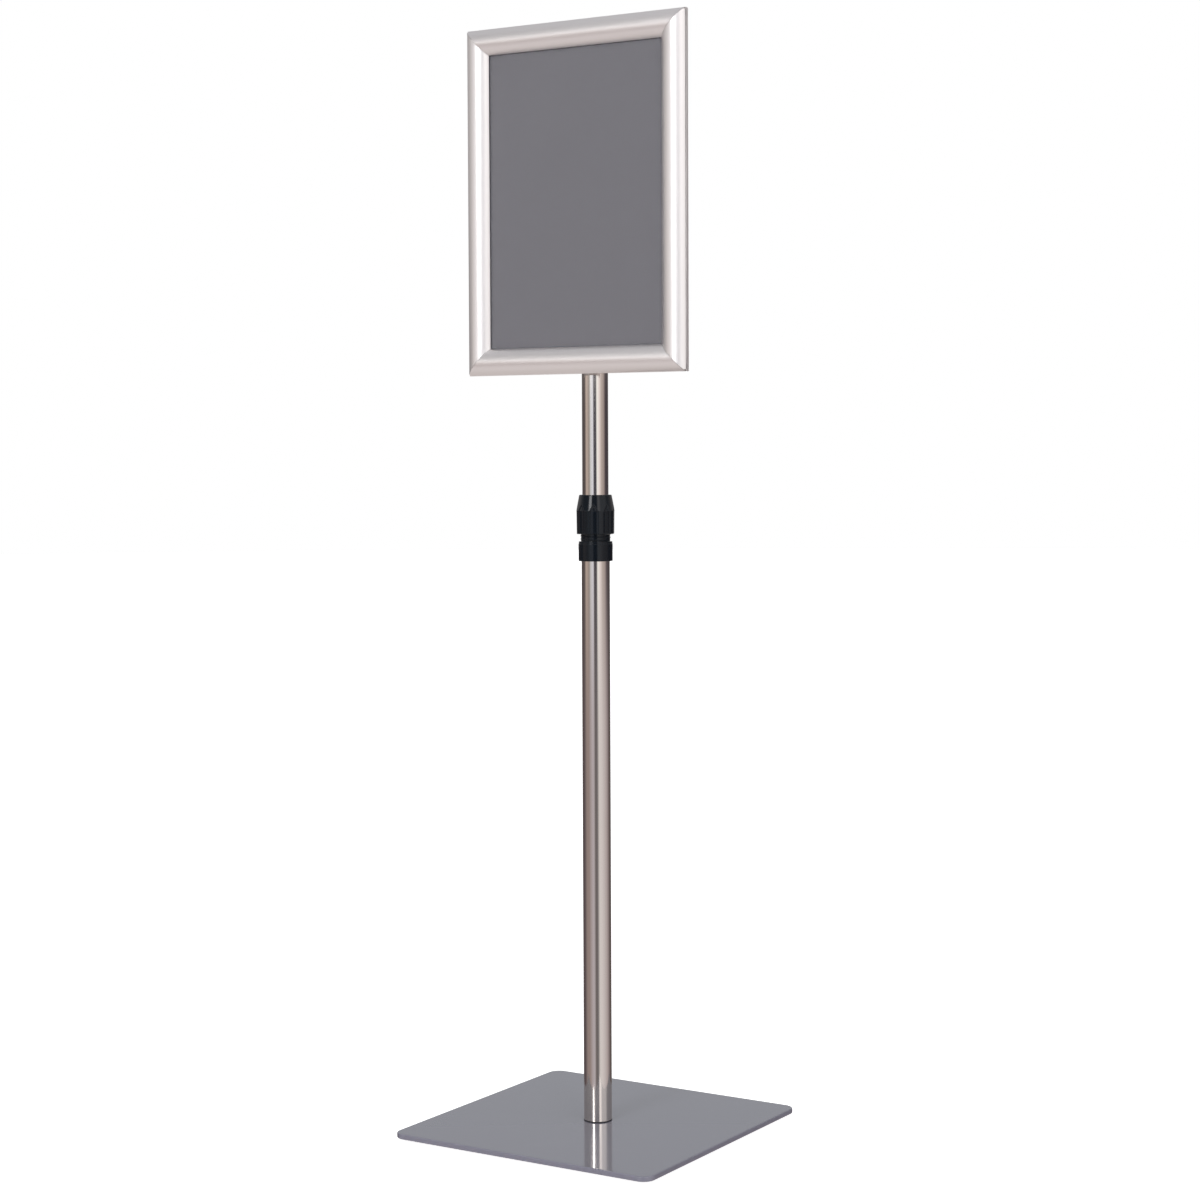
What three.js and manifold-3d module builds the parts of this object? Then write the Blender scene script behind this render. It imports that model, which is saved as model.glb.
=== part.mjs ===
// Free-standing sign stand: a weighted square base, a two-stage telescopic pole with a twist lock,
// a tilting and swivelling head, and a snap frame for an A4 sheet.
// Millimetres, +Z up. The origin is on the floor under the pole's axis, and the sign faces -Y.

import * as THREE from 'three';
import { mergeVertices } from 'three/addons/utils/BufferGeometryUtils.js';
import Module from 'manifold-3d';

// ---------------------------------------------------------------- driving dimensions
const GAP = 0.3; // running and assembly clearance between neighbouring solids

// Base
const BASE_SIDE = 280;
const BASE_CORNER = 12;
const BASE_THICKNESS = 5;
const BASE_EDGE = 0.6;
const PAD_RADIUS = 10;
const PAD_HEIGHT = 2;
const PAD_INSET = 24;
const BASE_TOP = PAD_HEIGHT + BASE_THICKNESS;
const GASKET_THICKNESS = 0.8;
const BOLT_RADIUS = 5;
const BOLT_HEAD_RADIUS = 9.5;
const BOLT_TIP = 23;

// Telescopic pole
const LOWER_RADIUS = 13.4;
const UPPER_RADIUS = 12.4;
const TUBE_WALL = 0.8;
const LOWER_FOOT = BASE_TOP + GASKET_THICKNESS + 0.1;
const INSERT_TOP = 26;
const UPPER_FOOT = 285;
const UPPER_TOP = 850;
const BUSH_HEIGHT = 12;
const BUSH_SPIGOT = 15;

// Twist lock
const COLLAR_BASE = 540.5;
const COLLAR_TOP = 559;
const COLLAR_RADIUS = 16.2;
const NECK_RADIUS = 14.35;
const NECK_TOP = 574;
const COLLET_TOP = 590;
const COLLET_TIP_RADIUS = 13.3;
const COLLET_SLOT = 2;
const NUT_BASE = 566;
const NUT_TAPER = 588;
const NUT_TOP = 603;
const NUT_RADIUS = 18.15;
const NUT_TOP_RADIUS = 15.3;
const NUT_BORE = NECK_RADIUS + GAP;
const NUT_FLUTES = 8;
const FLUTE_RADIUS = 6;
const FLUTE_DEPTH = 1.3;
const CLAMP_RING_BASE = 586;
const CLAMP_RING_TOP = 597;

// Snap frame: outer size for an A4 sheet, in a 25 mm profile
const FRAME_WIDTH = 240;
const FRAME_HEIGHT = 327;
const FRAME_BOTTOM = 716;
const STANDOFF = 30; // from the pole's axis to the frame's back face
const PROFILE_WIDTH = 25;
const PROFILE_DEPTH = 12;
const RAIL_FLOOR = 1.2;
const RAIL_FLANGE = 24;
const RIB_INNER = 12.2;
const RIB_OUTER = 11.2;
const RIB_HEIGHT = 4.2;
const HINGE_INSET = 1.6; // hinge axis, from the rail's outer face
const HINGE_DEPTH = 5.2; // hinge axis, in front of the rail's back face
const BEAD_RADIUS = 1.3;
const CUP_RADIUS = 1.7;
const CUP_WALL = 0.8;
const COVER_WALL = 1.3;
const LIP_DEPTH = 4.5;
const MITRE_GAP = 0.15;
const NOTCH_LENGTH = 1.75;
const NOTCH_DEPTH = 1.4;
const PANEL_THICKNESS = 1.5;
const SHEET_THICKNESS = 0.8;
const SPRING_LENGTH = 20;
const KEY_LEG = 38;
const KEY_WIDTH = 6.5;

// Head
const PIVOT_HEIGHT = FRAME_BOTTOM + FRAME_HEIGHT / 2;
const LUG_HALF = 6;
const LUG_RADIUS = 10;
const EAR_THICKNESS = 3.5;
const PIN_RADIUS = 3;
const FLANGE_RADIUS = 18;
const STRAP_HALF_LENGTH = 117;
const STRAP_HALF_HEIGHT = 20;
const STRAP_THICKNESS = 2;
const DISC_RADIUS = 30;
const DISC_THICKNESS = 3;
const WASHER_THICKNESS = 0.8;
const RIVET_RADIUS = 2;
const RIVET_CIRCLE = 24;
const SCREW_INSET = 7.5;
const SCREW_SPACING = 24;
const KNOB_RADIUS = 14;
const KNOB_LOBES = 6;

// ---------------------------------------------------------------- finishes
const finish = (color, roughness, metalness) =>
  new THREE.MeshStandardMaterial({ color, roughness, metalness });
const FINISHES = {
  greyCoat: () => finish(0x8b8a92, 0.35, 0.1),
  steel: () => finish(0xb9b2aa, 0.22, 1),
  zinc: () => finish(0xa9adb2, 0.4, 1),
  aluminium: () => finish(0xd9cfc9, 0.35, 1),
  blackPlastic: () => finish(0x14161a, 0.25, 0),
  blackRubber: () => finish(0x101010, 0.8, 0),
  greyPanel: () => finish(0x78777e, 0.6, 0),
  clearSheet: () => finish(0xe8ebee, 0.2, 0),
};

const TAU = Math.PI * 2;
const degrees = (angle) => (angle * Math.PI) / 180;

// ---------------------------------------------------------------- solids
const wasm = await Module();
wasm.setup();

/** A closed geometry as a manifold solid. */
function solid(geometry) {
  const bare = geometry.clone();
  bare.deleteAttribute('normal');
  bare.deleteAttribute('uv');
  const merged = mergeVertices(bare, 1e-4);
  return new wasm.Manifold(
    new wasm.Mesh({
      numProp: 3,
      vertProperties: new Float32Array(merged.attributes.position.array),
      triVerts: new Uint32Array(merged.index.array),
    }),
  );
}

/** The geometry of a manifold solid. */
function surface(body) {
  const mesh = body.getMesh();
  const geometry = new THREE.BufferGeometry();
  geometry.setAttribute('position', new THREE.BufferAttribute(mesh.vertProperties, 3));
  geometry.setIndex(new THREE.BufferAttribute(mesh.triVerts, 1));
  geometry.computeVertexNormals();
  return geometry;
}

/** geometry with every tool cut out of it. */
function cut(geometry, ...tools) {
  return surface(tools.reduce((body, tool) => body.subtract(solid(tool)), solid(geometry)));
}

/** geometry with every addition joined to it. */
function join(geometry, ...additions) {
  return surface(additions.reduce((body, addition) => body.add(solid(addition)), solid(geometry)));
}

/** Points [r, h] turned about the Y axis. The outline runs outside upwards, inside downwards. */
function turnedY(outline, segments) {
  const points = outline.map(([r, h]) => new THREE.Vector2(r, h));
  return new THREE.LatheGeometry(points, segments);
}

/** Points [r, z] turned about the Z axis. */
const turned = (outline, segments = 40) => turnedY(outline, segments).rotateX(Math.PI / 2);

/** A hollow cylinder about Z, as a closed turned outline. */
function tube(outer, inner, low, high, segments = 40) {
  return turned([[inner, low], [outer, low], [outer, high], [inner, high], [inner, low]], segments);
}

/** A full cylinder about Z. */
const rod = (radius, low, high, segments = 24) =>
  turned([[0, low], [radius, low], [radius, high], [0, high]], segments);

/** A full cylinder about Y. */
const rodY = (radius, low, high, segments = 24) =>
  turnedY([[0, low], [radius, low], [radius, high], [0, high]], segments);

/** A full cylinder about X. */
const rodX = (radius, low, high, segments = 24) =>
  rod(radius, low, high, segments).rotateY(Math.PI / 2);

/** A flat washer about Y. */
const washerY = (outer, inner, low, high, segments = 28) =>
  turnedY([[inner, low], [outer, low], [outer, high], [inner, high], [inner, low]], segments);

/** Points on an arc about (x, y), in degrees, ends included. */
function arc(x, y, radius, from, to, steps) {
  return Array.from({ length: steps + 1 }, (_, i) => {
    const angle = degrees(from + ((to - from) * i) / steps);
    return [x + radius * Math.cos(angle), y + radius * Math.sin(angle)];
  });
}

/** A flat outline of [x, y] points. */
const outlineShape = (points) => new THREE.Shape(points.map(([x, y]) => new THREE.Vector2(x, y)));

/** An outline extruded along its own Z, from 0 to depth. */
const extruded = (points, depth) =>
  new THREE.ExtrudeGeometry(outlineShape(points), { depth, bevelEnabled: false });

// ---------------------------------------------------------------- scene graph
const stand = new THREE.Group();
const head = new THREE.Group();
head.position.z = PIVOT_HEIGHT;
stand.add(head);
const frame = new THREE.Group();
frame.position.y = -STANDOFF;
head.add(frame);

/** Adds one named piece to a group, and returns it for placing. */
function piece(group, name, geometry, material) {
  const mesh = new THREE.Mesh(geometry, material());
  mesh.name = name;
  group.add(mesh);
  return mesh;
}

// ---------------------------------------------------------------- base
function roundedSquare(side, corner) {
  const reach = side / 2 - corner;
  const steps = 6;
  return [
    ...arc(reach, -reach, corner, -90, 0, steps),
    ...arc(reach, reach, corner, 0, 90, steps),
    ...arc(-reach, reach, corner, 90, 180, steps),
    ...arc(-reach, -reach, corner, 180, 270, steps),
  ];
}

function basePlate() {
  const side = BASE_SIDE - 2 * BASE_EDGE;
  const plate = new THREE.ExtrudeGeometry(outlineShape(roundedSquare(side, BASE_CORNER - BASE_EDGE)), {
    depth: BASE_THICKNESS - 2 * BASE_EDGE,
    bevelThickness: BASE_EDGE,
    bevelSize: BASE_EDGE,
    bevelSegments: 2,
  });
  plate.translate(0, 0, PAD_HEIGHT + BASE_EDGE);
  const hole = BOLT_RADIUS + GAP;
  const sink = BOLT_HEAD_RADIUS + GAP;
  const countersink = turned([
    [0, PAD_HEIGHT - 1],
    [sink, PAD_HEIGHT - 1],
    [sink, PAD_HEIGHT],
    [hole, PAD_HEIGHT + sink - hole],
    [hole, BASE_TOP + 1],
    [0, BASE_TOP + 1],
  ]);
  return cut(plate, countersink);
}

function baseBolt() {
  const low = PAD_HEIGHT + 0.2;
  const socket = 2.5;
  const bolt = turned([
    [0, low],
    [BOLT_HEAD_RADIUS, low],
    [BOLT_RADIUS, low + BOLT_HEAD_RADIUS - BOLT_RADIUS],
    [BOLT_RADIUS, BOLT_TIP - 1],
    [BOLT_RADIUS - 1, BOLT_TIP],
    [0, BOLT_TIP],
  ]);
  const hexagon = new THREE.CylinderGeometry(3.5, 3.5, 2 * socket, 6).rotateX(Math.PI / 2);
  return cut(bolt, hexagon.translate(0, 0, low));
}

function buildBase() {
  piece(stand, 'base_plate', basePlate(), FINISHES.greyCoat);
  const reach = BASE_SIDE / 2 - PAD_INSET;
  const corners = [[-reach, -reach], [reach, -reach], [reach, reach], [-reach, reach]];
  corners.forEach(([x, y], i) => {
    const pad = rod(PAD_RADIUS, 0, PAD_HEIGHT - 0.02, 28);
    piece(stand, `foot_pad_${i + 1}`, pad, FINISHES.blackRubber).position.set(x, y, 0);
  });
  piece(stand, 'base_bolt', baseBolt(), FINISHES.zinc);
  const gasket = tube(LOWER_RADIUS + 0.1, 8, BASE_TOP + 0.05, BASE_TOP + GASKET_THICKNESS);
  piece(stand, 'base_gasket', gasket, FINISHES.blackRubber);
  const insert = tube(LOWER_RADIUS - TUBE_WALL - GAP, BOLT_RADIUS + GAP, LOWER_FOOT, INSERT_TOP, 32);
  piece(stand, 'tube_foot_insert', insert, FINISHES.zinc);
  const lower = tube(LOWER_RADIUS, LOWER_RADIUS - TUBE_WALL, LOWER_FOOT, COLLAR_TOP - GAP, 48);
  piece(stand, 'lower_tube', lower, FINISHES.steel);
}

// ---------------------------------------------------------------- twist lock
function lockCollar() {
  const overTube = LOWER_RADIUS + GAP;
  const overMast = UPPER_RADIUS + GAP;
  const bevel = 0.8;
  const body = turned([
    [overTube, COLLAR_BASE],
    [COLLAR_RADIUS - bevel, COLLAR_BASE],
    [COLLAR_RADIUS, COLLAR_BASE + bevel],
    [COLLAR_RADIUS, COLLAR_TOP - bevel],
    [COLLAR_RADIUS - bevel, COLLAR_TOP],
    [NECK_RADIUS, COLLAR_TOP],
    [NECK_RADIUS, NECK_TOP],
    [COLLET_TIP_RADIUS, COLLET_TOP],
    [overMast, COLLET_TOP],
    [overMast, COLLAR_TOP],
    [overTube, COLLAR_TOP],
    [overTube, COLLAR_BASE],
  ]);
  const height = COLLET_TOP - NECK_TOP + 4;
  const slots = [0, Math.PI / 2].map((angle) =>
    new THREE.BoxGeometry(4 * NECK_RADIUS, COLLET_SLOT, height)
      .rotateZ(angle)
      .translate(0, 0, COLLET_TOP + 1 - height / 2),
  );
  return cut(body, ...slots);
}

function clampRing() {
  const outer = NUT_BORE - GAP;
  const inner = UPPER_RADIUS + GAP;
  return turned([
    [outer - 0.3, CLAMP_RING_BASE],
    [outer, CLAMP_RING_BASE + 0.3],
    [outer, CLAMP_RING_TOP],
    [inner, CLAMP_RING_TOP],
    [inner, COLLET_TOP + 4],
    [outer - 0.3, CLAMP_RING_BASE],
  ]);
}

function twistNut() {
  const bevel = 0.7;
  const body = turned([
    [NUT_BORE, NUT_BASE],
    [NUT_RADIUS - 0.3 - bevel, NUT_BASE],
    [NUT_RADIUS - 0.3, NUT_BASE + bevel],
    [NUT_RADIUS, NUT_TAPER],
    [NUT_TOP_RADIUS, NUT_TOP - bevel],
    [NUT_TOP_RADIUS - bevel, NUT_TOP],
    [UPPER_RADIUS + GAP, NUT_TOP],
    [UPPER_RADIUS + GAP, CLAMP_RING_TOP + GAP],
    [NUT_BORE, CLAMP_RING_TOP + GAP],
    [NUT_BORE, NUT_BASE],
  ], 48);
  const reach = NUT_RADIUS + FLUTE_RADIUS - FLUTE_DEPTH;
  const flutes = Array.from({ length: NUT_FLUTES }, (_, i) =>
    rod(FLUTE_RADIUS, NUT_BASE + 3, NUT_TOP + 1, 24)
      .translate(reach, 0, 0)
      .rotateZ(((i + 0.5) * TAU) / NUT_FLUTES),
  );
  return cut(body, ...flutes);
}

function buildTwistLock() {
  piece(stand, 'lock_collar', lockCollar(), FINISHES.blackPlastic);
  piece(stand, 'clamp_ring', clampRing(), FINISHES.blackPlastic);
  piece(stand, 'twist_nut', twistNut(), FINISHES.blackPlastic);
}

// ---------------------------------------------------------------- mast
function headPlug() {
  const spigot = UPPER_RADIUS - TUBE_WALL - GAP;
  const seat = UPPER_TOP - PIVOT_HEIGHT + GAP;
  const collar = turned([
    [0, seat - 35],
    [spigot, seat - 35],
    [spigot, seat],
    [UPPER_RADIUS + 0.8, seat],
    [UPPER_RADIUS + 0.8, seat + 5],
    [UPPER_RADIUS - 1, seat + 8],
    [0, seat + 8],
  ]);
  const lugOutline = [[-seat - 6, LUG_RADIUS], ...arc(0, 0, LUG_RADIUS, 90, -90, 16), [-seat - 6, -LUG_RADIUS]];
  const lug = extruded(lugOutline, 2 * LUG_HALF).rotateY(Math.PI / 2).translate(-LUG_HALF, 0, 0);
  return cut(join(collar, lug), rodX(PIN_RADIUS + GAP, -LUG_HALF - 1, LUG_HALF + 1));
}

function buildMast() {
  const running = LOWER_RADIUS - TUBE_WALL - GAP;
  const spigot = UPPER_RADIUS - TUBE_WALL - GAP;
  const bush = turned([
    [8, UPPER_FOOT - BUSH_HEIGHT],
    [running - 0.8, UPPER_FOOT - BUSH_HEIGHT],
    [running, UPPER_FOOT - BUSH_HEIGHT + 0.8],
    [running, UPPER_FOOT - GAP],
    [spigot, UPPER_FOOT - GAP],
    [spigot, UPPER_FOOT + BUSH_SPIGOT],
    [8, UPPER_FOOT + BUSH_SPIGOT],
    [8, UPPER_FOOT - BUSH_HEIGHT],
  ]);
  piece(stand, 'guide_bush', bush, FINISHES.blackPlastic);
  const upper = tube(UPPER_RADIUS, UPPER_RADIUS - TUBE_WALL, UPPER_FOOT, UPPER_TOP, 48);
  piece(stand, 'upper_tube', upper, FINISHES.steel);
  piece(head, 'head_plug', headPlug(), FINISHES.blackPlastic);
}

// ---------------------------------------------------------------- head
// Faces behind the frame, as Y in the head's group: each layer leaves a small gap to the last one.
const LAYER_GAP = 0.2;
const STRAP_BACK = -STANDOFF + LAYER_GAP + STRAP_THICKNESS;
const DISC_FRONT = STRAP_BACK + LAYER_GAP;
const DISC_BACK = DISC_FRONT + DISC_THICKNESS;
const WASHER_FRONT = DISC_BACK + LAYER_GAP;
const FLANGE_FRONT = WASHER_FRONT + WASHER_THICKNESS + LAYER_GAP;
const FLANGE_BACK = FLANGE_FRONT + 3;
const EAR_INNER = LUG_HALF + GAP;
const EAR_OUTER = EAR_INNER + EAR_THICKNESS;
const HOLE = PIN_RADIUS + GAP;

function tiltFork() {
  const ear = [[FLANGE_FRONT + 1, -LUG_RADIUS], ...arc(0, 0, LUG_RADIUS, -90, 90, 14), [FLANGE_FRONT + 1, LUG_RADIUS]];
  const ears = [-EAR_OUTER, EAR_INNER].map((x) =>
    extruded(ear, EAR_THICKNESS).rotateY(Math.PI / 2).rotateX(Math.PI / 2).translate(x, 0, 0),
  );
  const flange = rodY(FLANGE_RADIUS, FLANGE_FRONT, FLANGE_BACK, 32);
  return cut(
    join(flange, ...ears),
    rodX(HOLE, -EAR_OUTER - 1, EAR_OUTER + 1),
    rodY(HOLE, FLANGE_FRONT - 1, FLANGE_BACK + 1),
  );
}

function tiltBolt() {
  const headFace = -EAR_OUTER - GAP;
  const hexagon = new THREE.CylinderGeometry(5.8, 5.8, 4, 6).rotateZ(Math.PI / 2).translate(headFace - 2, 0, 0);
  return join(hexagon, rodX(PIN_RADIUS, headFace - 1, EAR_OUTER + 12));
}

function tiltKnob() {
  const inner = EAR_OUTER + 1.8;
  const hub = rodX(6.5, inner, inner + 5);
  const outline = Array.from({ length: KNOB_LOBES * 8 }, (_, i) => {
    const angle = (i * TAU) / (KNOB_LOBES * 8);
    const radius = KNOB_RADIUS - 1.2 + 1.2 * Math.cos(KNOB_LOBES * angle);
    return [radius * Math.cos(angle), radius * Math.sin(angle)];
  });
  const grip = extruded(outline, 9).rotateY(Math.PI / 2).translate(inner + 4, 0, 0);
  return cut(join(hub, grip), rodX(HOLE, inner - 1, EAR_OUTER + 13));
}

function swivelBolt() {
  const headFace = -STANDOFF + 0.1;
  const shank = rodY(PIN_RADIUS, headFace - 0.6, FLANGE_BACK + 6.6, 24);
  return join(rodY(6, headFace - 1.2, headFace, 28), shank);
}

function buildHead() {
  piece(head, 'tilt_fork', tiltFork(), FINISHES.zinc);
  piece(head, 'tilt_bolt', tiltBolt(), FINISHES.zinc);
  const washer = washerY(6.5, HOLE, EAR_OUTER + 0.3, EAR_OUTER + 1.5);
  piece(head, 'tilt_washer', washer.rotateZ(-Math.PI / 2), FINISHES.zinc);
  piece(head, 'tilt_knob', tiltKnob(), FINISHES.blackPlastic);
  const friction = washerY(FLANGE_RADIUS - 0.5, HOLE, WASHER_FRONT, WASHER_FRONT + WASHER_THICKNESS);
  piece(head, 'swivel_washer', friction, FINISHES.blackPlastic);
  piece(head, 'swivel_bolt', swivelBolt(), FINISHES.zinc);
  const nutFront = FLANGE_BACK + LAYER_GAP;
  const hexagon = new THREE.CylinderGeometry(5.8, 5.8, 5, 6).translate(0, nutFront + 2.5, 0);
  piece(head, 'swivel_nut', cut(hexagon, rodY(HOLE, nutFront - 1, nutFront + 6)), FINISHES.zinc);
}

// ---------------------------------------------------------------- frame carrier
const rivetPlaces = [30, 150, 210, 330].map((angle) => [
  RIVET_CIRCLE * Math.cos(degrees(angle)),
  RIVET_CIRCLE * Math.sin(degrees(angle)),
]);
const screwPlaces = [-1, 1].flatMap((side) =>
  [-1, 1].map((end) => [side * (FRAME_WIDTH / 2 - SCREW_INSET), (end * SCREW_SPACING) / 2]),
);

function backStrap() {
  const size = [2 * STRAP_HALF_LENGTH, STRAP_THICKNESS, 2 * STRAP_HALF_HEIGHT];
  const strap = new THREE.BoxGeometry(...size).translate(0, STRAP_BACK - STRAP_THICKNESS / 2, 0);
  const low = STRAP_BACK - STRAP_THICKNESS - 1;
  const high = STRAP_BACK + 1;
  const rivetHoles = rivetPlaces.map(([x, z]) => rodY(RIVET_RADIUS + GAP, low, high, 12).translate(x, 0, z));
  const screwHoles = screwPlaces.map(([x, z]) => rodY(1.8, low, high, 12).translate(x, 0, z));
  return cut(strap, rodY(HOLE, low, high), ...rivetHoles, ...screwHoles);
}

function swivelDisc() {
  const disc = rodY(DISC_RADIUS, DISC_FRONT, DISC_BACK, 40);
  const holes = rivetPlaces.map(([x, z]) =>
    rodY(RIVET_RADIUS + GAP, DISC_FRONT - 1, DISC_BACK + 1, 12).translate(x, 0, z),
  );
  return cut(disc, rodY(HOLE, DISC_FRONT - 1, DISC_BACK + 1), ...holes);
}

function rivet() {
  const front = STRAP_BACK - STRAP_THICKNESS - 0.1;
  const back = DISC_BACK + 0.1;
  return turnedY([
    [0, front - 0.9],
    [2.6, front - 0.9],
    [3.4, front - 0.4],
    [3.4, front],
    [RIVET_RADIUS, front],
    [RIVET_RADIUS, back],
    [3.4, back],
    [3.4, back + 0.4],
    [2.6, back + 1.1],
    [0, back + 1.1],
  ], 16);
}

function strapScrew() {
  const seat = STRAP_BACK + 0.1;
  return turnedY([
    [0, -STANDOFF - 3],
    [0.6, -STANDOFF - 3],
    [1.5, -STANDOFF - 2],
    [1.5, seat],
    [3, seat],
    [3, seat + 0.9],
    [2, seat + 1.7],
    [0, seat + 1.7],
  ], 16);
}

function buildCarrier() {
  piece(head, 'back_strap', backStrap(), FINISHES.zinc);
  piece(head, 'swivel_disc', swivelDisc(), FINISHES.zinc);
  rivetPlaces.forEach(([x, z], i) => {
    piece(head, `disc_rivet_${i + 1}`, rivet(), FINISHES.zinc).position.set(x, 0, z);
  });
  screwPlaces.forEach(([x, z], i) => {
    piece(head, `strap_screw_${i + 1}`, strapScrew(), FINISHES.zinc).position.set(x, 0, z);
  });
}

// ---------------------------------------------------------------- snap frame
// A rail's section is drawn as [inset from the outer face, depth in front of the back face].
const SIDES = [
  { name: 'bottom', turn: 0, length: FRAME_WIDTH, across: FRAME_HEIGHT },
  { name: 'right', turn: -90, length: FRAME_HEIGHT, across: FRAME_WIDTH },
  { name: 'top', turn: 180, length: FRAME_WIDTH, across: FRAME_HEIGHT },
  { name: 'left', turn: 90, length: FRAME_HEIGHT, across: FRAME_WIDTH },
];

/** A section swept along a bottom rail. endInset(inset) is how far short of the corner it stops. */
function swept(section, side, endInset) {
  const geometry = extruded(section, 1);
  const position = geometry.attributes.position;
  for (let i = 0; i < position.count; i += 1) {
    const inset = position.getX(i);
    const depth = position.getY(i);
    const reach = side.length / 2 - endInset(inset);
    const along = (2 * position.getZ(i) - 1) * reach;
    position.setXYZ(i, along, -depth, inset - side.across / 2);
  }
  return geometry;
}

const mitred = (section, side) => swept(section, side, (inset) => inset + MITRE_GAP);
const squareEnded = (section, side, shorter) => swept(section, side, () => shorter);

const RAIL_SECTION = [
  [0, 0],
  [RAIL_FLANGE, 0],
  [RAIL_FLANGE, RAIL_FLOOR],
  [RIB_INNER, RAIL_FLOOR],
  [RIB_INNER, RIB_HEIGHT],
  [RIB_OUTER, RIB_HEIGHT],
  [RIB_OUTER, RAIL_FLOOR],
  [HINGE_INSET + 1.25, RAIL_FLOOR],
  ...arc(HINGE_INSET, HINGE_DEPTH, CUP_RADIUS + CUP_WALL, -60, 30, 6),
  ...arc(HINGE_INSET, HINGE_DEPTH, CUP_RADIUS, 30, -135, 10),
  [0, HINGE_DEPTH - CUP_RADIUS * Math.SQRT1_2],
];

// The cover's front is one arc from the hinge, over the crest, to the inner lip.
const COVER_RUN = PROFILE_WIDTH - (HINGE_INSET - BEAD_RADIUS);
const COVER_RISE = PROFILE_DEPTH - HINGE_DEPTH;
const COVER_RADIUS = ((COVER_RUN / 2) ** 2 + COVER_RISE ** 2) / (2 * COVER_RISE);
const COVER_CENTRE = [PROFILE_WIDTH - COVER_RUN / 2, PROFILE_DEPTH - COVER_RADIUS];
const COVER_SPREAD = (Math.asin(COVER_RUN / 2 / COVER_RADIUS) * 180) / Math.PI;

const COVER_SECTION = [
  ...arc(...COVER_CENTRE, COVER_RADIUS, 90 + COVER_SPREAD, 90 - COVER_SPREAD, 16),
  [PROFILE_WIDTH, LIP_DEPTH],
  [PROFILE_WIDTH - 1, LIP_DEPTH],
  ...arc(...COVER_CENTRE, COVER_RADIUS - COVER_WALL, 93 - COVER_SPREAD, 81 + COVER_SPREAD, 12),
  [HINGE_INSET + BEAD_RADIUS, HINGE_DEPTH],
];
const BEAD_SECTION = [
  [HINGE_INSET - BEAD_RADIUS + 0.1, HINGE_DEPTH + 0.2],
  ...arc(HINGE_INSET, HINGE_DEPTH, BEAD_RADIUS, 180, 360, 10),
  [HINGE_INSET + BEAD_RADIUS - 0.1, HINGE_DEPTH + 0.2],
];
const SPRING_SECTION = [
  [3.5, 1.5],
  [10.8, 1.5],
  [10.8, 2.2],
  [5.9, 7],
  [5.5, 6.6],
  [9.9, 2],
  [3.5, 2],
];

function cornerKey() {
  const near = 3.8;
  const far = near + KEY_WIDTH;
  const outline = [[near, near], [KEY_LEG, near], [KEY_LEG, far], [far, far], [far, KEY_LEG], [near, KEY_LEG]];
  return extruded(outline, 1.5).rotateX(Math.PI / 2).translate(0, -1.5, 0);
}

function rail(side) {
  const geometry = mitred(RAIL_SECTION, side);
  if (side.length === FRAME_WIDTH) {
    return geometry;
  }
  const holes = [-1, 1].map((end) =>
    rodY(1.8, -RAIL_FLOOR - 1, 1, 16)
      .translate((end * SCREW_SPACING) / 2, 0, SCREW_INSET - side.across / 2),
  );
  return cut(geometry, ...holes);
}

/** A cover's foot is notched at each corner, so that two neighbours can be open together. */
function cover(side) {
  const bead = squareEnded(BEAD_SECTION, side, 8);
  const notches = [-1, 1].map((end) =>
    new THREE.BoxGeometry(2 * NOTCH_LENGTH, 2 * NOTCH_DEPTH, 2 * NOTCH_LENGTH).translate(
      (end * side.length) / 2,
      -HINGE_DEPTH,
      -side.across / 2,
    ),
  );
  return cut(join(mitred(COVER_SECTION, side), bead), ...notches);
}

function buildFrame() {
  for (const side of SIDES) {
    const turn = degrees(side.turn);
    piece(frame, `rail_${side.name}`, rail(side), FINISHES.aluminium).rotation.y = turn;
    piece(frame, `cover_${side.name}`, cover(side), FINISHES.aluminium).rotation.y = turn;
    [-1, 1].forEach((end, i) => {
      const spring = squareEnded(SPRING_SECTION, { ...side, length: SPRING_LENGTH }, 0);
      spring.translate(end * side.length * 0.27, 0, 0);
      piece(frame, `leaf_spring_${side.name}_${i + 1}`, spring, FINISHES.steel).rotation.y = turn;
    });
  }
  const corners = [[-1, -1, 0], [1, -1, -90], [1, 1, 180], [-1, 1, 90]];
  corners.forEach(([x, z, turn], i) => {
    const key = piece(frame, `corner_key_${i + 1}`, cornerKey(), FINISHES.zinc);
    key.position.set((x * FRAME_WIDTH) / 2, 0, (z * FRAME_HEIGHT) / 2);
    key.rotation.y = degrees(turn);
  });
  const width = FRAME_WIDTH - 2 * (RIB_INNER + GAP);
  const height = FRAME_HEIGHT - 2 * (RIB_INNER + GAP);
  const panelFront = RAIL_FLOOR + LAYER_GAP + PANEL_THICKNESS;
  const panel = new THREE.BoxGeometry(width, PANEL_THICKNESS, height);
  panel.translate(0, PANEL_THICKNESS / 2 - panelFront, 0);
  piece(frame, 'back_panel', panel, FINISHES.greyPanel);
  const sheet = new THREE.BoxGeometry(width, SHEET_THICKNESS, height);
  sheet.translate(0, -panelFront - LAYER_GAP - SHEET_THICKNESS / 2, 0);
  piece(frame, 'clear_sheet', sheet, FINISHES.clearSheet);
}

buildBase();
buildTwistLock();
buildMast();
buildHead();
buildCarrier();
buildFrame();

export default stand;
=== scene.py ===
"""Looks of a free-standing sign stand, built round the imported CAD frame.

A weighted square base carries a two-stage polished pole with a black twist lock. A tilting,
swivelling head behind the sign holds a satin snap frame with a grey back panel.
"""

import logging
import math
from dataclasses import dataclass, field
from enum import Enum
from typing import Iterable, Sequence

import bmesh
import bpy
from mathutils import Matrix, Vector


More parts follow.
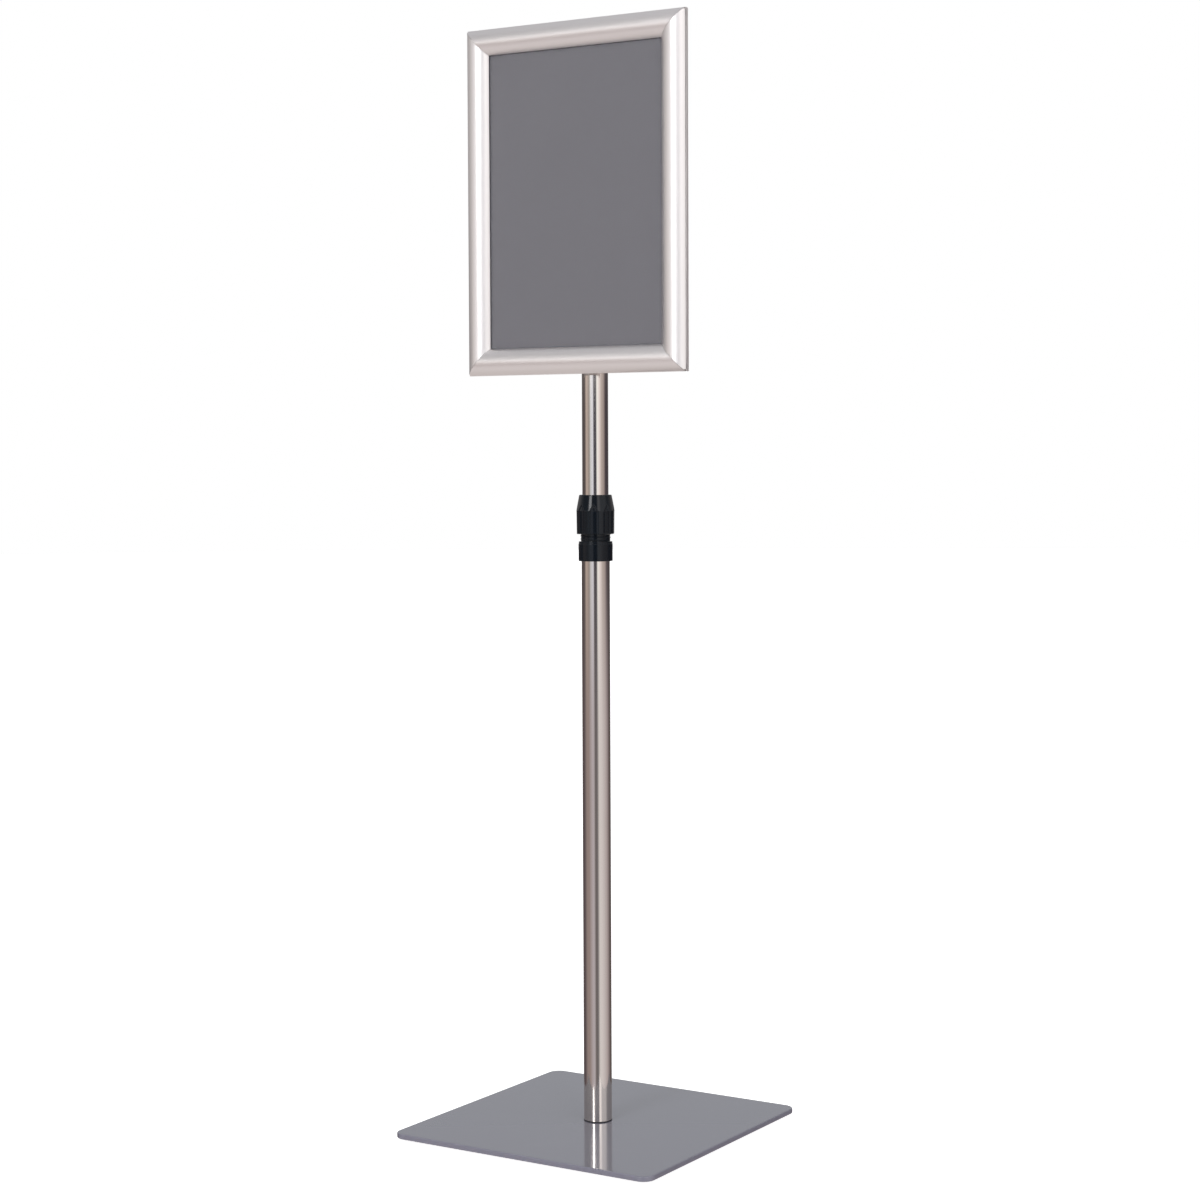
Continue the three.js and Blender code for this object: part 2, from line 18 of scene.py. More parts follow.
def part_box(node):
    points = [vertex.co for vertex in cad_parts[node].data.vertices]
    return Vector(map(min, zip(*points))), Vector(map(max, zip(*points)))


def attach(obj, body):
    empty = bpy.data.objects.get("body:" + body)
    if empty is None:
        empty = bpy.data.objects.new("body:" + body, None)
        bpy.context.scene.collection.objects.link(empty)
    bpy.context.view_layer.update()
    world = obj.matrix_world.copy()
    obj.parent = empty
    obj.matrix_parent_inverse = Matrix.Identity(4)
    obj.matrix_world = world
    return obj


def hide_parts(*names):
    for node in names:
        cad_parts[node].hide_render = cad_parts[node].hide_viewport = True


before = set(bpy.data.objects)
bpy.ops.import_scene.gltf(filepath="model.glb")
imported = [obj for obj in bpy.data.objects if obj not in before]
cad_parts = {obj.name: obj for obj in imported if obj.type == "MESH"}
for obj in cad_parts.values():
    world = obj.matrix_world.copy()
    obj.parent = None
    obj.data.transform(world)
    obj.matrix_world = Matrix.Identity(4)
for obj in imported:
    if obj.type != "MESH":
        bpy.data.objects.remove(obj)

LOG = logging.getLogger("sign_stand")
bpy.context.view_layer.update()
MM = 0.001
TAU = 2 * math.pi
ON_AXIS = 1e-9
SLIGHT_TURN = math.radians(12)
BEVEL_FROM = math.radians(35)
LONGEST_ROUNDING = 0.45
Outline = list[tuple[float, float]]
Loop = list[tuple[float, float, float]]
Colour = tuple[float, float, float]


class Axis(Enum):
    """The direction that a turned or extruded shape runs along."""

    X = "x"
    Y = "y"
    Z = "z"

    def matrix(self) -> Matrix:
        """Finds the turn that takes a shape built along +Z to this axis.

        Returns:
            The turn.
        """
        if self is Axis.X:
            return Matrix(((0, 0, 1, 0), (1, 0, 0, 0), (0, 1, 0, 0), (0, 0, 0, 1)))
        if self is Axis.Y:
            return Matrix(((0, 1, 0, 0), (0, 0, 1, 0), (1, 0, 0, 0), (0, 0, 0, 1)))
        return Matrix.Identity(4)


# ------------------------------------------------------------------ node helpers
class Wiring:
    """Adds and links nodes in one node tree."""

    def __init__(self, tree: bpy.types.NodeTree) -> None:
        """Keeps the tree that nodes are added to.

        Args:
            tree: Any shader or geometry node tree.
        """
        self.tree = tree

    def node(self, kind: str, inputs: dict | None = None, **settings: object) -> bpy.types.Node:
        """Adds one node.

        Args:
            kind: The node's type name.
            inputs: Socket name or index to a value, or to an output socket to link from.
            settings: Properties of the node itself.

        Returns:
            The new node.
        """
        node = self.tree.nodes.new(kind)
        for name, value in settings.items():
            setattr(node, name, value)
        for key, value in (inputs or {}).items():
            self.feed(node.inputs[key], value)
        return node

    def feed(self, socket: bpy.types.NodeSocket, value: object) -> None:
        """Sets a socket to a value, or links it.

        Args:
            socket: The input socket.
            value: A constant, or the output socket to link from.
        """
        if isinstance(value, bpy.types.NodeSocket):
            self.tree.links.new(value, socket)
        else:
            socket.default_value = value

    def math(self, operation: str, *values: object) -> bpy.types.NodeSocket:
        """Adds a math node.

        Args:
            operation: The math node's operation.
            values: Its inputs, constants or sockets.

        Returns:
            The node's output socket.
        """
        node = self.node("ShaderNodeMath", dict(enumerate(values)), operation=operation)
        return node.outputs[0]


def shared_group(name: str, inputs: dict[str, tuple[str, object]],
                 outputs: dict[str, str]) -> Wiring:
    """Starts a shader node group with named sockets.

    Args:
        name: The group's name.
        inputs: Input name to its socket type and default.
        outputs: Output name to its socket type.

    Returns:
        The wiring of the new group's tree.
    """
    tree = bpy.data.node_groups.new(name, "ShaderNodeTree")
    for label, (kind, default) in inputs.items():
        socket = tree.interface.new_socket(label, in_out="INPUT", socket_type=kind)
        socket.default_value = default
    for label, kind in outputs.items():
        tree.interface.new_socket(label, in_out="OUTPUT", socket_type=kind)
    return Wiring(tree)


def drawn_grain() -> bpy.types.NodeTree:
    """Builds the group for the fine parallel lines that drawing or brushing leaves.

    Returns:
        The group, with a mask in the range 0 to 1 and a small bump height.
    """
    wiring = shared_group(
        "drawn_grain",
        {"Stretch": ("NodeSocketVector", (1, 1, 1)), "Contrast": ("NodeSocketFloat", 1)},
        {"Mask": "NodeSocketFloat", "Height": "NodeSocketFloat"},
    )
    given = wiring.node("NodeGroupInput")
    place = wiring.node("ShaderNodeTexCoord")
    scaled = wiring.node("ShaderNodeVectorMath", operation="MULTIPLY")
    wiring.feed(scaled.inputs[0], place.outputs["Object"])
    wiring.feed(scaled.inputs[1], given.outputs["Stretch"])
    lines = wiring.node(
        "ShaderNodeTexNoise", {"Vector": scaled.outputs[0], "Scale": 1.0, "Detail": 4.0}
    )
    coarse = wiring.node(
        "ShaderNodeTexNoise", {"Vector": scaled.outputs[0], "Scale": 0.23, "Detail": 2.0}
    )
    fine_half = wiring.math("MULTIPLY", lines.outputs["Fac"], 0.5)
    both = wiring.math("MULTIPLY_ADD", coarse.outputs["Fac"], 0.5, fine_half)
    centred = wiring.math("SUBTRACT", both, 0.5)
    spread = wiring.math("MULTIPLY_ADD", centred, given.outputs["Contrast"], 0.5)
    clipped = wiring.node("ShaderNodeClamp", {"Value": spread})
    wiring.node("NodeGroupOutput", {"Mask": clipped.outputs[0], "Height": lines.outputs["Fac"]})
    return wiring.tree


def surface_wear() -> bpy.types.NodeTree:
    """Builds the group for faint handling marks and settled dust.

    Returns:
        The group, with a mask of marks in the range 0 to 1 and a fine orange-peel height.
    """
    wiring = shared_group(
        "surface_wear",
        {
            "Mark Scale": ("NodeSocketFloat", 20),
            "Peel Scale": ("NodeSocketFloat", 900),
            "Threshold": ("NodeSocketFloat", 0.5),
        },
        {"Marks": "NodeSocketFloat", "Peel": "NodeSocketFloat"},
    )
    given = wiring.node("NodeGroupInput")
    place = wiring.node("ShaderNodeTexCoord")
    marks = wiring.node(
        "ShaderNodeTexNoise",
        {"Vector": place.outputs["Object"], "Scale": given.outputs["Mark Scale"], "Detail": 6.0,
         "Distortion": 0.6},
    )
    band = wiring.node(
        "ShaderNodeMapRange",
        {"Value": marks.outputs["Fac"], "From Min": given.outputs["Threshold"], "From Max": 0.75},
        interpolation_type="SMOOTHSTEP",
    )
    peel = wiring.node(
        "ShaderNodeTexNoise",
        {"Vector": place.outputs["Object"], "Scale": given.outputs["Peel Scale"], "Detail": 2.0},
    )
    wiring.node("NodeGroupOutput", {"Marks": band.outputs["Result"], "Peel": peel.outputs["Fac"]})
    return wiring.tree


class SharedEffects:
    """The node groups that more than one material uses, each built once."""

    def __init__(self) -> None:
        """Builds the groups."""
        self.grain = drawn_grain()
        self.wear = surface_wear()


# ------------------------------------------------------------------ finishes
@dataclass(frozen=True)
class Finish:
    """One surface finish, and the amounts of each shared effect on it.

    The slot is the record's material slot, where that isn't the finish's own name.
    """

    name: str
    colour: Colour
    worn: Colour
    roughness: tuple[float, float]
    metallic: float = 0.0
    stretch: tuple[float, float, float] = (60, 60, 60)
    grain: float = 0.0
    grain_height: float = 0.0
    mark_scale: float = 18.0
    mark_amount: float = 0.25
    peel_scale: float = 900.0
    peel_height: float = 0.0
    coat: float = 0.0
    coat_roughness: float = 0.1
    alpha: float = 1.0
    specular: float = 0.5
    slot: str = ""

    def build(self, effects: SharedEffects) -> bpy.types.Material:
        """Makes the finish's material.

        Args:
            effects: The shared node groups.

        Returns:
            The material.
        """
        material = bpy.data.materials.new(self.name)
        material.use_nodes = True
        wiring = Wiring(material.node_tree)
        shader = material.node_tree.nodes["Principled BSDF"]
        shader.inputs["Metallic"].default_value = self.metallic
        shader.inputs["Specular IOR Level"].default_value = self.specular
        shader.inputs["Coat Weight"].default_value = self.coat
        shader.inputs["Coat Roughness"].default_value = self.coat_roughness
        shader.inputs["Alpha"].default_value = self.alpha
        grain = wiring.node("ShaderNodeGroup", node_tree=effects.grain)
        grain.inputs["Stretch"].default_value = self.stretch
        grain.inputs["Contrast"].default_value = GRAIN_CONTRAST
        wear = wiring.node("ShaderNodeGroup", node_tree=effects.wear)
        wear.inputs["Mark Scale"].default_value = self.mark_scale
        wear.inputs["Peel Scale"].default_value = self.peel_scale
        centred = wiring.math("SUBTRACT", grain.outputs["Mask"], 0.5)
        grain_part = wiring.math("MULTIPLY", centred, self.grain)
        marked = wiring.math("MULTIPLY_ADD", wear.outputs["Marks"], self.mark_amount, grain_part)
        blend = wiring.node("ShaderNodeClamp", {"Value": marked})
        tint = wiring.node("ShaderNodeMix", data_type="RGBA")
        wiring.feed(tint.inputs["Factor"], blend.outputs[0])
        tint.inputs[6].default_value = (*self.colour, 1)
        tint.inputs[7].default_value = (*self.worn, 1)
        wiring.feed(shader.inputs["Base Color"], tint.outputs[2])
        low, high = self.roughness
        rough = wiring.node(
            "ShaderNodeMapRange", {"Value": marked, "To Min": low, "To Max": high}
        )
        wiring.feed(shader.inputs["Roughness"], rough.outputs["Result"])
        if self.grain_height or self.peel_height:
            relief = wiring.math("MULTIPLY", grain.outputs["Height"], self.grain_height)
            relief = wiring.math("MULTIPLY_ADD", wear.outputs["Peel"], self.peel_height, relief)
            bump = wiring.node(
                "ShaderNodeBump", {"Height": relief, "Strength": 1.0, "Distance": MM}
            )
            wiring.feed(shader.inputs["Normal"], bump.outputs["Normal"])
        return material


FINE = 2600.0
LONG = 6.0
GRAIN_CONTRAST = 3.0
FINISHES = {
    "grey_coat": Finish(
        "grey_coat", (0.232, 0.230, 0.290), (0.252, 0.250, 0.310), (0.14, 0.26),
        peel_scale=420, peel_height=0.002, mark_scale=9, mark_amount=0.35,
        coat=1.0, coat_roughness=0.03,
    ),
    "stainless": Finish(
        "stainless", (0.74, 0.69, 0.65), (0.62, 0.57, 0.53), (0.08, 0.16), metallic=1.0,
        stretch=(FINE, FINE, LONG), grain=0.40, grain_height=0.0008,
        mark_amount=0.12, mark_scale=30,
    ),
    # The top and bottom rails' copy is a shade pinker than the upright one in both colours: a
    # painted warm reflection, not a difference in the metal.
    "satin_across_painted_reflection": Finish(
        "satin_aluminium_across", (0.90, 0.87, 0.865), (0.84, 0.80, 0.79), (0.40, 0.50),
        metallic=1.0, stretch=(LONG, FINE, FINE), grain=0.25, grain_height=0.0012,
        mark_amount=0.1, slot="satin_aluminium",
    ),
    "satin_upright": Finish(
        "satin_aluminium_upright", (0.90, 0.88, 0.88), (0.84, 0.81, 0.80), (0.40, 0.50),
        metallic=1.0, stretch=(FINE, FINE, LONG), grain=0.25, grain_height=0.0012,
        mark_amount=0.1, slot="satin_aluminium",
    ),
    "zinc_steel": Finish(
        "zinc_steel", (0.50, 0.51, 0.53), (0.40, 0.39, 0.36), (0.28, 0.45), metallic=1.0,
        stretch=(300, 300, 300), grain=0.4, grain_height=0.001, mark_scale=60, mark_amount=0.5,
    ),
    "spring_steel": Finish(
        "spring_steel", (0.20, 0.21, 0.24), (0.14, 0.12, 0.10), (0.25, 0.4), metallic=1.0,
        stretch=(800, 800, 800), grain=0.3, mark_scale=80, mark_amount=0.4,
    ),
    "black_plastic": Finish(
        "black_plastic", (0.0045, 0.0075, 0.0115), (0.008, 0.012, 0.017), (0.10, 0.22),
        peel_scale=500, peel_height=0.001, mark_scale=70, mark_amount=0.25, specular=0.28,
    ),
    "black_nylon": Finish(
        "black_nylon", (0.012, 0.013, 0.015), (0.022, 0.023, 0.025), (0.38, 0.52),
        peel_scale=1500, peel_height=0.008, mark_scale=50, mark_amount=0.3, specular=0.4,
        slot="black_plastic",
    ),
    "black_rubber": Finish(
        "black_rubber", (0.014, 0.014, 0.015), (0.030, 0.029, 0.028), (0.7, 0.85),
        peel_scale=1800, peel_height=0.02, mark_scale=90, mark_amount=0.4,
    ),
    "grey_panel": Finish(
        "grey_panel", (0.162, 0.157, 0.178), (0.174, 0.169, 0.190), (0.55, 0.7),
        stretch=(900, 900, 900), grain=0.12, peel_scale=2400, peel_height=0.0012,
        mark_scale=7, mark_amount=0.2,
    ),
    "clear_sheet": Finish(
        "clear_sheet", (0.40, 0.40, 0.43), (0.46, 0.46, 0.49), (0.28, 0.40),
        peel_scale=1600, peel_height=0.0003, mark_scale=8, mark_amount=0.2, alpha=0.14,
    ),
}


# ------------------------------------------------------------------ outlines
def arc(x: float, y: float, radius: float, start: float, end: float, steps: int) -> Outline:
    """Returns points on an arc about (x, y), from start to end in degrees, ends included."""
    angles = [math.radians(start + (end - start) * i / steps) for i in range(steps + 1)]
    return [(x + radius * math.cos(a), y + radius * math.sin(a)) for a in angles]


def polygon(x: float, y: float, radius: float, sides: int) -> Outline:
    """Returns a regular polygon about (x, y), many-sided where it stands for a circle."""
    return arc(x, y, radius, 0, 360 - 360 / sides, sides - 1)


def rounded_rectangle(across: float, up: float, radius: float, steps: int) -> Outline:
    """Makes a rectangle with an arc at each corner.

    Args:
        across: How far the arcs' centres are to either side of the middle.
        up: How far they are above and below it.
        radius: The arcs' radius.
        steps: How many steps each arc has.

    Returns:
        The outline.
    """
    corners = ((-90, 1, -1), (0, 1, 1), (90, -1, 1), (180, -1, -1))
    return [point for start, x, y in corners
            for point in arc(x * across, y * up, radius, start, start + 90, steps)]


def thread_edge(radius: float, depth: float, start: float, step: float, count: int) -> Outline:
    """Makes the zigzag edge of a turned thread.

    Args:
        radius: The thread's outer radius.
        depth: How deep its grooves are.
        start: The height of its first crest.
        step: How far each crest is from the next groove.
        count: How many crests and grooves there are.

    Returns:
        The edge's points, upwards.
    """
    return [(radius - (depth if i % 2 else 0), start + i * step) for i in range(count)]


def rounded_outline(points: Outline, radius: float, steps: int = 4) -> Outline:
    """Rounds every corner of an outline that turns by more than a few degrees.

    Args:
        points: The outline with sharp corners.
        radius: How far back from a corner the rounding starts, at most.
        steps: How many steps each rounding has.

    Returns:
        The outline with rounded corners.
    """
    rounded: Outline = []
    for i, point in enumerate(points):
        here = Vector(point)
        before, after = Vector(points[i - 1]) - here, Vector(points[(i + 1) % len(points)]) - here
        reach = min(radius, LONGEST_ROUNDING * before.length, LONGEST_ROUNDING * after.length)
        if before.angle(-after, 0.0) < SLIGHT_TURN:
            rounded.append(tuple(here))
            continue
        start, end = here + before.normalized() * reach, here + after.normalized() * reach
        for k in range(steps + 1):
            t = k / steps
            rounded.append(tuple(start * (1 - t) ** 2 + here * 2 * t * (1 - t) + end * t ** 2))
    return rounded


def rounded_profile(points: Outline, radius: float, steps: int = 4) -> Outline:
    """Rounds the corners of a turned outline that starts and ends on the axis.

    Args:
        points: The outline with sharp corners.
        radius: How far back from a corner the rounding starts, at most.
        steps: How many steps each rounding has.

    Returns:
        The outline with rounded corners, still ending on the axis.
    """
    closed = rounded_outline(points, radius, steps)
    first = next(i for i, p in enumerate(closed) if p[0] > radius)
    kept = [p for p in closed[first:] if p[0] > ON_AXIS]
    return [(0.0, points[0][1]), *kept, (0.0, points[-1][1])]


def ring_outline(inner: float, outer: float, low: float, high: float, radius: float) -> Outline:
    """Makes a ring's turned outline.

    Args:
        inner: The ring's inner radius.
        outer: Its outer radius.
        low: Its lower end.
        high: Its upper end.
        radius: How far back from a corner the rounding starts.

    Returns:
        The outline with rounded corners.
    """
    return rounded_outline([(inner, low), (outer, low), (outer, high), (inner, high)], radius)


# ------------------------------------------------------------------ mesh helpers
def as_object(name: str, work: bmesh.types.BMesh) -> bpy.types.Object:
    """Turns a working mesh into an object at the origin.

    Args:
        name: The piece's name.
        work: The working mesh, which is freed.

    Returns:
        The new object.
    """
    mesh = bpy.data.meshes.new(name)
    work.to_mesh(mesh)
    work.free()
    piece = bpy.data.objects.new(name, mesh)
    bpy.context.scene.collection.objects.link(piece)
    return piece


def closed_object(name: str, work: bmesh.types.BMesh) -> bpy.types.Object:
    """Turns a closed working mesh into an object whose faces point outwards.

    Args:
        name: The piece's name.
        work: The working mesh, which is freed.

    Returns:
        The new object.
    """
    bmesh.ops.recalc_face_normals(work, faces=work.faces)
    return as_object(name, work)


def skin(work: bmesh.types.BMesh, rows: Sequence[Sequence[bmesh.types.BMVert]],
         around: bool = False) -> None:
    """Joins rows of points with faces.

    Args:
        work: The working mesh.
        rows: Closed rows, each with the same number of points.
        around: Whether the last row joins the first, as in a ring.
    """
    for low, high in list(zip(rows, rows[1:])) + ([(rows[-1], rows[0])] if around else []):
        for i, here in enumerate(low):
            j = (i + 1) % len(low)
            work.faces.new((here, low[j], high[j], high[i]))


def turned(name: str, outline: Outline, segments: int = 96, axis: Axis = Axis.Z,
           centre: Sequence[float] = (0, 0, 0)) -> bpy.types.Object:
    """Turns an outline about an axis.

    Args:
        name: The piece's name.
        outline: (radius, height) points: outside upwards, inside downwards. A solid piece
            starts and ends on the axis, and a ring's last point joins its first.
        segments: How many steps there are round the axis.
        axis: The axis of the turning.
        centre: A point on the axis that heights are counted from.

    Returns:
        The closed piece.
    """
    work = bmesh.new()
    rings: list[list[bmesh.types.BMVert]] = []
    for radius, height in outline:
        angles = [TAU * i / segments for i in range(1 if radius < ON_AXIS else segments)]
        rings.append([
            work.verts.new((radius * math.cos(a), radius * math.sin(a), height)) for a in angles
        ])
    solid = len(rings[0]) == 1
    pairs = list(zip(rings, rings[1:])) + ([] if solid else [(rings[-1], rings[0])])
    for low, high in pairs:
        for i in range(segments):
            j = (i + 1) % segments
            corners = (low[i % len(low)], low[j % len(low)],
                       high[j % len(high)], high[i % len(high)])
            unique = list(dict.fromkeys(corners))
            if len(unique) > 2:
                work.faces.new(unique)
    work.transform(Matrix.Translation(Vector(centre)) @ axis.matrix())
    return closed_object(name, work)


def extruded(name: str, outline: Outline, low: float, high: float, axis: Axis = Axis.Z,
             centre: Sequence[float] = (0, 0, 0)) -> bpy.types.Object:
    """Extrudes a flat outline.

    Args:
        name: The piece's name.
        outline: Points across the axis, in the order X, Y, Z without the axis's own.
        low: Where the piece starts along the axis.
        high: Where it ends.
        axis: The axis of the extrusion.
        centre: The outline's origin.

    Returns:
        The closed piece.
    """
    work = bmesh.new()
    place = {
        Axis.X: lambda a, b, c: (c, a, b),
        Axis.Y: lambda a, b, c: (a, c, b),
        Axis.Z: lambda a, b, c: (a, b, c),
    }[axis]
    rows = [[work.verts.new(place(a, b, end)) for a, b in outline] for end in (low, high)]
    for row in rows:
        work.faces.new(row)
    skin(work, rows)
    work.transform(Matrix.Translation(Vector(centre)))
    return closed_object(name, work)


def evaluated(piece: bpy.types.Object) -> bpy.types.Object:
    """Applies a piece's modifiers to its mesh.

    Args:
        piece: The object, whose modifiers are removed.

    Returns:
        The same object, with the result as its mesh.
    """
    graph = bpy.context.evaluated_depsgraph_get()
    mesh = bpy.data.meshes.new_from_object(piece.evaluated_get(graph))
    piece.modifiers.clear()
    piece.data = mesh
    return piece


def carved(piece: bpy.types.Object, cutters: Iterable[bpy.types.Object],
           operation: str = "DIFFERENCE") -> bpy.types.Object:
    """Cuts other solids out of a piece, or joins them to it.

    Args:
        piece: The piece.
        cutters: The solids, which are removed afterwards.
        operation: The Boolean modifier's operation.

    Returns:
        The piece.
    """
    for cutter in cutters:
        boolean = piece.modifiers.new("carve", "BOOLEAN")
        boolean.operation = operation
        boolean.solver = "EXACT"
        boolean.object = cutter
        evaluated(piece)
        bpy.data.objects.remove(cutter)
    return piece


def softened(piece: bpy.types.Object, width: float, segments: int = 3) -> bpy.types.Object:
    """Rounds a piece's sharp edges.

    Args:
        piece: The piece.
        width: The width of the rounding.
        segments: Its number of steps.

    Returns:
        The piece.
    """
    bevel = piece.modifiers.new("soften", "BEVEL")
    bevel.width = width
    bevel.segments = segments
    bevel.limit_method = "ANGLE"
    bevel.angle_limit = BEVEL_FROM
    return evaluated(piece)


def smoothed(piece: bpy.types.Object, angle: float) -> bpy.types.Object:
    """Shades a piece smooth, so that long faces stay flat beside their small roundings.

    Args:
        piece: The piece.
        angle: The angle in degrees past which two faces meet at a crease.

    Returns:
        The piece.
    """
    piece.data.shade_smooth()
    piece.data.set_sharp_from_angle(angle=math.radians(angle))
    weighted = piece.modifiers.new("weighted", "WEIGHTED_NORMAL")
    weighted.mode = "FACE_AREA"
    weighted.keep_sharp = True
    return evaluated(piece)


# ------------------------------------------------------------------ geometry node trees
ARCH_CURVE = 1.25


def geometry_tree(name: str,
                  inputs: dict[str, tuple[str, object]]) -> tuple[Wiring, bpy.types.Node]:
    """Starts a geometry node tree.

    Args:
        name: The tree's name.
        inputs: Input name to its socket type and default, after the geometry.

    Returns:
        The tree's wiring and its group input node.
    """
    tree = bpy.data.node_groups.new(name, "GeometryNodeTree")
    tree.interface.new_socket("Geometry", in_out="INPUT", socket_type="NodeSocketGeometry")
    tree.interface.new_socket("Geometry", in_out="OUTPUT", socket_type="NodeSocketGeometry")
    for label, (kind, default) in inputs.items():
        socket = tree.interface.new_socket(label, in_out="INPUT", socket_type=kind)
        if default is not None:
            socket.default_value = default
    wiring = Wiring(tree)
    return wiring, wiring.node("NodeGroupInput")


def finish_tree(wiring: Wiring, given: bpy.types.Node,
                shape: bpy.types.NodeSocket) -> bpy.types.NodeTree:
    """Ends a tree in Realize Instances and Set Material.

    Args:
        wiring: The tree's wiring.
        given: Its group input node, which has a Material output.
        shape: The geometry made so far.

    Returns:
        The tree.
    """
    real = wiring.node("GeometryNodeRealizeInstances", {"Geometry": shape})
    dressed = wiring.node("GeometryNodeSetMaterial", {"Geometry": real.outputs[0]})
    wiring.feed(dressed.inputs["Material"], given.outputs["Material"])
    wiring.node("NodeGroupOutput", {"Geometry": dressed.outputs[0]})
    return wiring.tree


def run_tree(piece: bpy.types.Object, tree: bpy.types.NodeTree,
             values: dict[str, object]) -> bpy.types.Object:
    """Runs a geometry node tree on a piece and keeps the result as its mesh.

    Args:
        piece: The piece whose mesh goes in.
        tree: The tree.
        values: Input name to value.

    Returns:
        The piece.
    """
    modifier = piece.modifiers.new(tree.name, "NODES")
    modifier.node_group = tree
    sockets = {s.name: s.identifier for s in tree.interface.items_tree if s.in_out == "INPUT"}
    for label, value in values.items():
        modifier[sockets[label]] = value
    return evaluated(piece)


def repeat_tree() -> bpy.types.NodeTree:
    """Builds the tree that sets a copy of one piece on every point of a mesh.

    Returns:
        The tree, with the piece and its material as inputs.
    """
    wiring, given = geometry_tree("repeat_piece", {
        "Piece": ("NodeSocketObject", None),
        "Material": ("NodeSocketMaterial", None),
    })
    source = wiring.node("GeometryNodeObjectInfo", {"Object": given.outputs["Piece"]})
    copies = wiring.node(
        "GeometryNodeInstanceOnPoints",
        {"Points": given.outputs["Geometry"], "Instance": source.outputs["Geometry"]},
    )
    return finish_tree(wiring, given, copies.outputs[0])


def flute_tree() -> bpy.types.NodeTree:
    """Builds the tree that presses arched finger flutes into a round grip about Z.

    Returns:
        The tree, with the flutes' number, turn, size and heights as inputs.
    """
    wiring, given = geometry_tree("finger_flutes", {
        "Count": ("NodeSocketFloat", 8.0),
        "Phase": ("NodeSocketFloat", 0.0),
        "Radius": ("NodeSocketFloat", 0.018),
        "Half Width": ("NodeSocketFloat", 0.004),
        "Depth": ("NodeSocketFloat", 0.001),
        "Shoulder": ("NodeSocketFloat", 0.58),
        "Peak": ("NodeSocketFloat", 0.59),
        "Wall": ("NodeSocketFloat", 0.001),
        "Inner": ("NodeSocketFloat", 0.0155),
        "Material": ("NodeSocketMaterial", None),
    })
    out = given.outputs
    position = wiring.node("GeometryNodeInputPosition")
    parts = wiring.node("ShaderNodeSeparateXYZ", {0: position.outputs[0]})
    x, y, z = parts.outputs
    radius = wiring.math("SQRT", wiring.math("MULTIPLY_ADD", x, x, wiring.math("MULTIPLY", y, y)))
    angle = wiring.math("SUBTRACT", wiring.math("ARCTAN2", y, x), out["Phase"])
    pitch = wiring.math("DIVIDE", TAU, out["Count"])
    index = wiring.math("ROUND", wiring.math("DIVIDE", angle, pitch))
    nearest = wiring.math("MULTIPLY", index, pitch)
    apart = wiring.math("ABSOLUTE", wiring.math("SUBTRACT", angle, nearest))
    across = wiring.math("MULTIPLY", apart, out["Radius"])
    arch_height = wiring.math("SUBTRACT", out["Peak"], out["Shoulder"])
    run = wiring.math("DIVIDE", wiring.math("SUBTRACT", z, out["Shoulder"]), arch_height)
    climb = wiring.math("MAXIMUM", run, 0.0)
    taper = wiring.math("SUBTRACT", 1.0, wiring.math("POWER", climb, ARCH_CURVE))
    inside = wiring.math("SUBTRACT", wiring.math("MULTIPLY", out["Half Width"], taper), across)
    slope = wiring.node(
        "ShaderNodeMapRange", {"Value": inside, "From Min": 0.0, "From Max": out["Wall"]},
    )
    press = wiring.math("MULTIPLY", slope.outputs["Result"], out["Depth"])
    outside = wiring.math("GREATER_THAN", radius, out["Inner"])
    share = wiring.math("DIVIDE", wiring.math("MULTIPLY", press, outside), radius)
    scale = wiring.math("SUBTRACT", 1.0, share)
    moved = wiring.node("ShaderNodeCombineXYZ", {
        0: wiring.math("MULTIPLY", x, scale), 1: wiring.math("MULTIPLY", y, scale), 2: z,
    })
    pressed = wiring.node(
        "GeometryNodeSetPosition", {"Geometry": out["Geometry"], "Position": moved.outputs[0]}
    )
    return finish_tree(wiring, given, pressed.outputs[0])


def thread_tree() -> bpy.types.NodeTree:
    """Builds the tree that winds a thread's ridge round a neck about Z, added to the neck.

    Returns:
        The tree, with the thread's radius, turns, height and ridge size as inputs.
    """
    wiring, given = geometry_tree("wound_thread", {
        "Radius": ("NodeSocketFloat", 0.014),
        "Turns": ("NodeSocketFloat", 4.0),
        "Height": ("NodeSocketFloat", 0.012),
        "Start": ("NodeSocketFloat", 0.55),
        "Ridge": ("NodeSocketFloat", 0.0006),
        "Material": ("NodeSocketMaterial", None),
    })
    out = given.outputs
    helix = wiring.node("GeometryNodeCurveSpiral", {
        "Resolution": 96, "Rotations": out["Turns"], "Start Radius": out["Radius"],
        "End Radius": out["Radius"], "Height": out["Height"],
    })
    ridge = wiring.node(
        "GeometryNodeCurvePrimitiveCircle", {"Resolution": 8, "Radius": out["Ridge"]}
    )
    wound = wiring.node(
        "GeometryNodeCurveToMesh",
        {"Curve": helix.outputs[0], "Profile Curve": ridge.outputs[0], "Fill Caps": True},
    )
    lift = wiring.node("ShaderNodeCombineXYZ", {2: out["Start"]})
    placed = wiring.node(
        "GeometryNodeTransform", {"Geometry": wound.outputs[0], "Translation": lift.outputs[0]}
    )
    both = wiring.node("GeometryNodeJoinGeometry", {0: out["Geometry"]})
    wiring.tree.links.new(placed.outputs[0], both.inputs[0])
    return finish_tree(wiring, given, both.outputs[0])


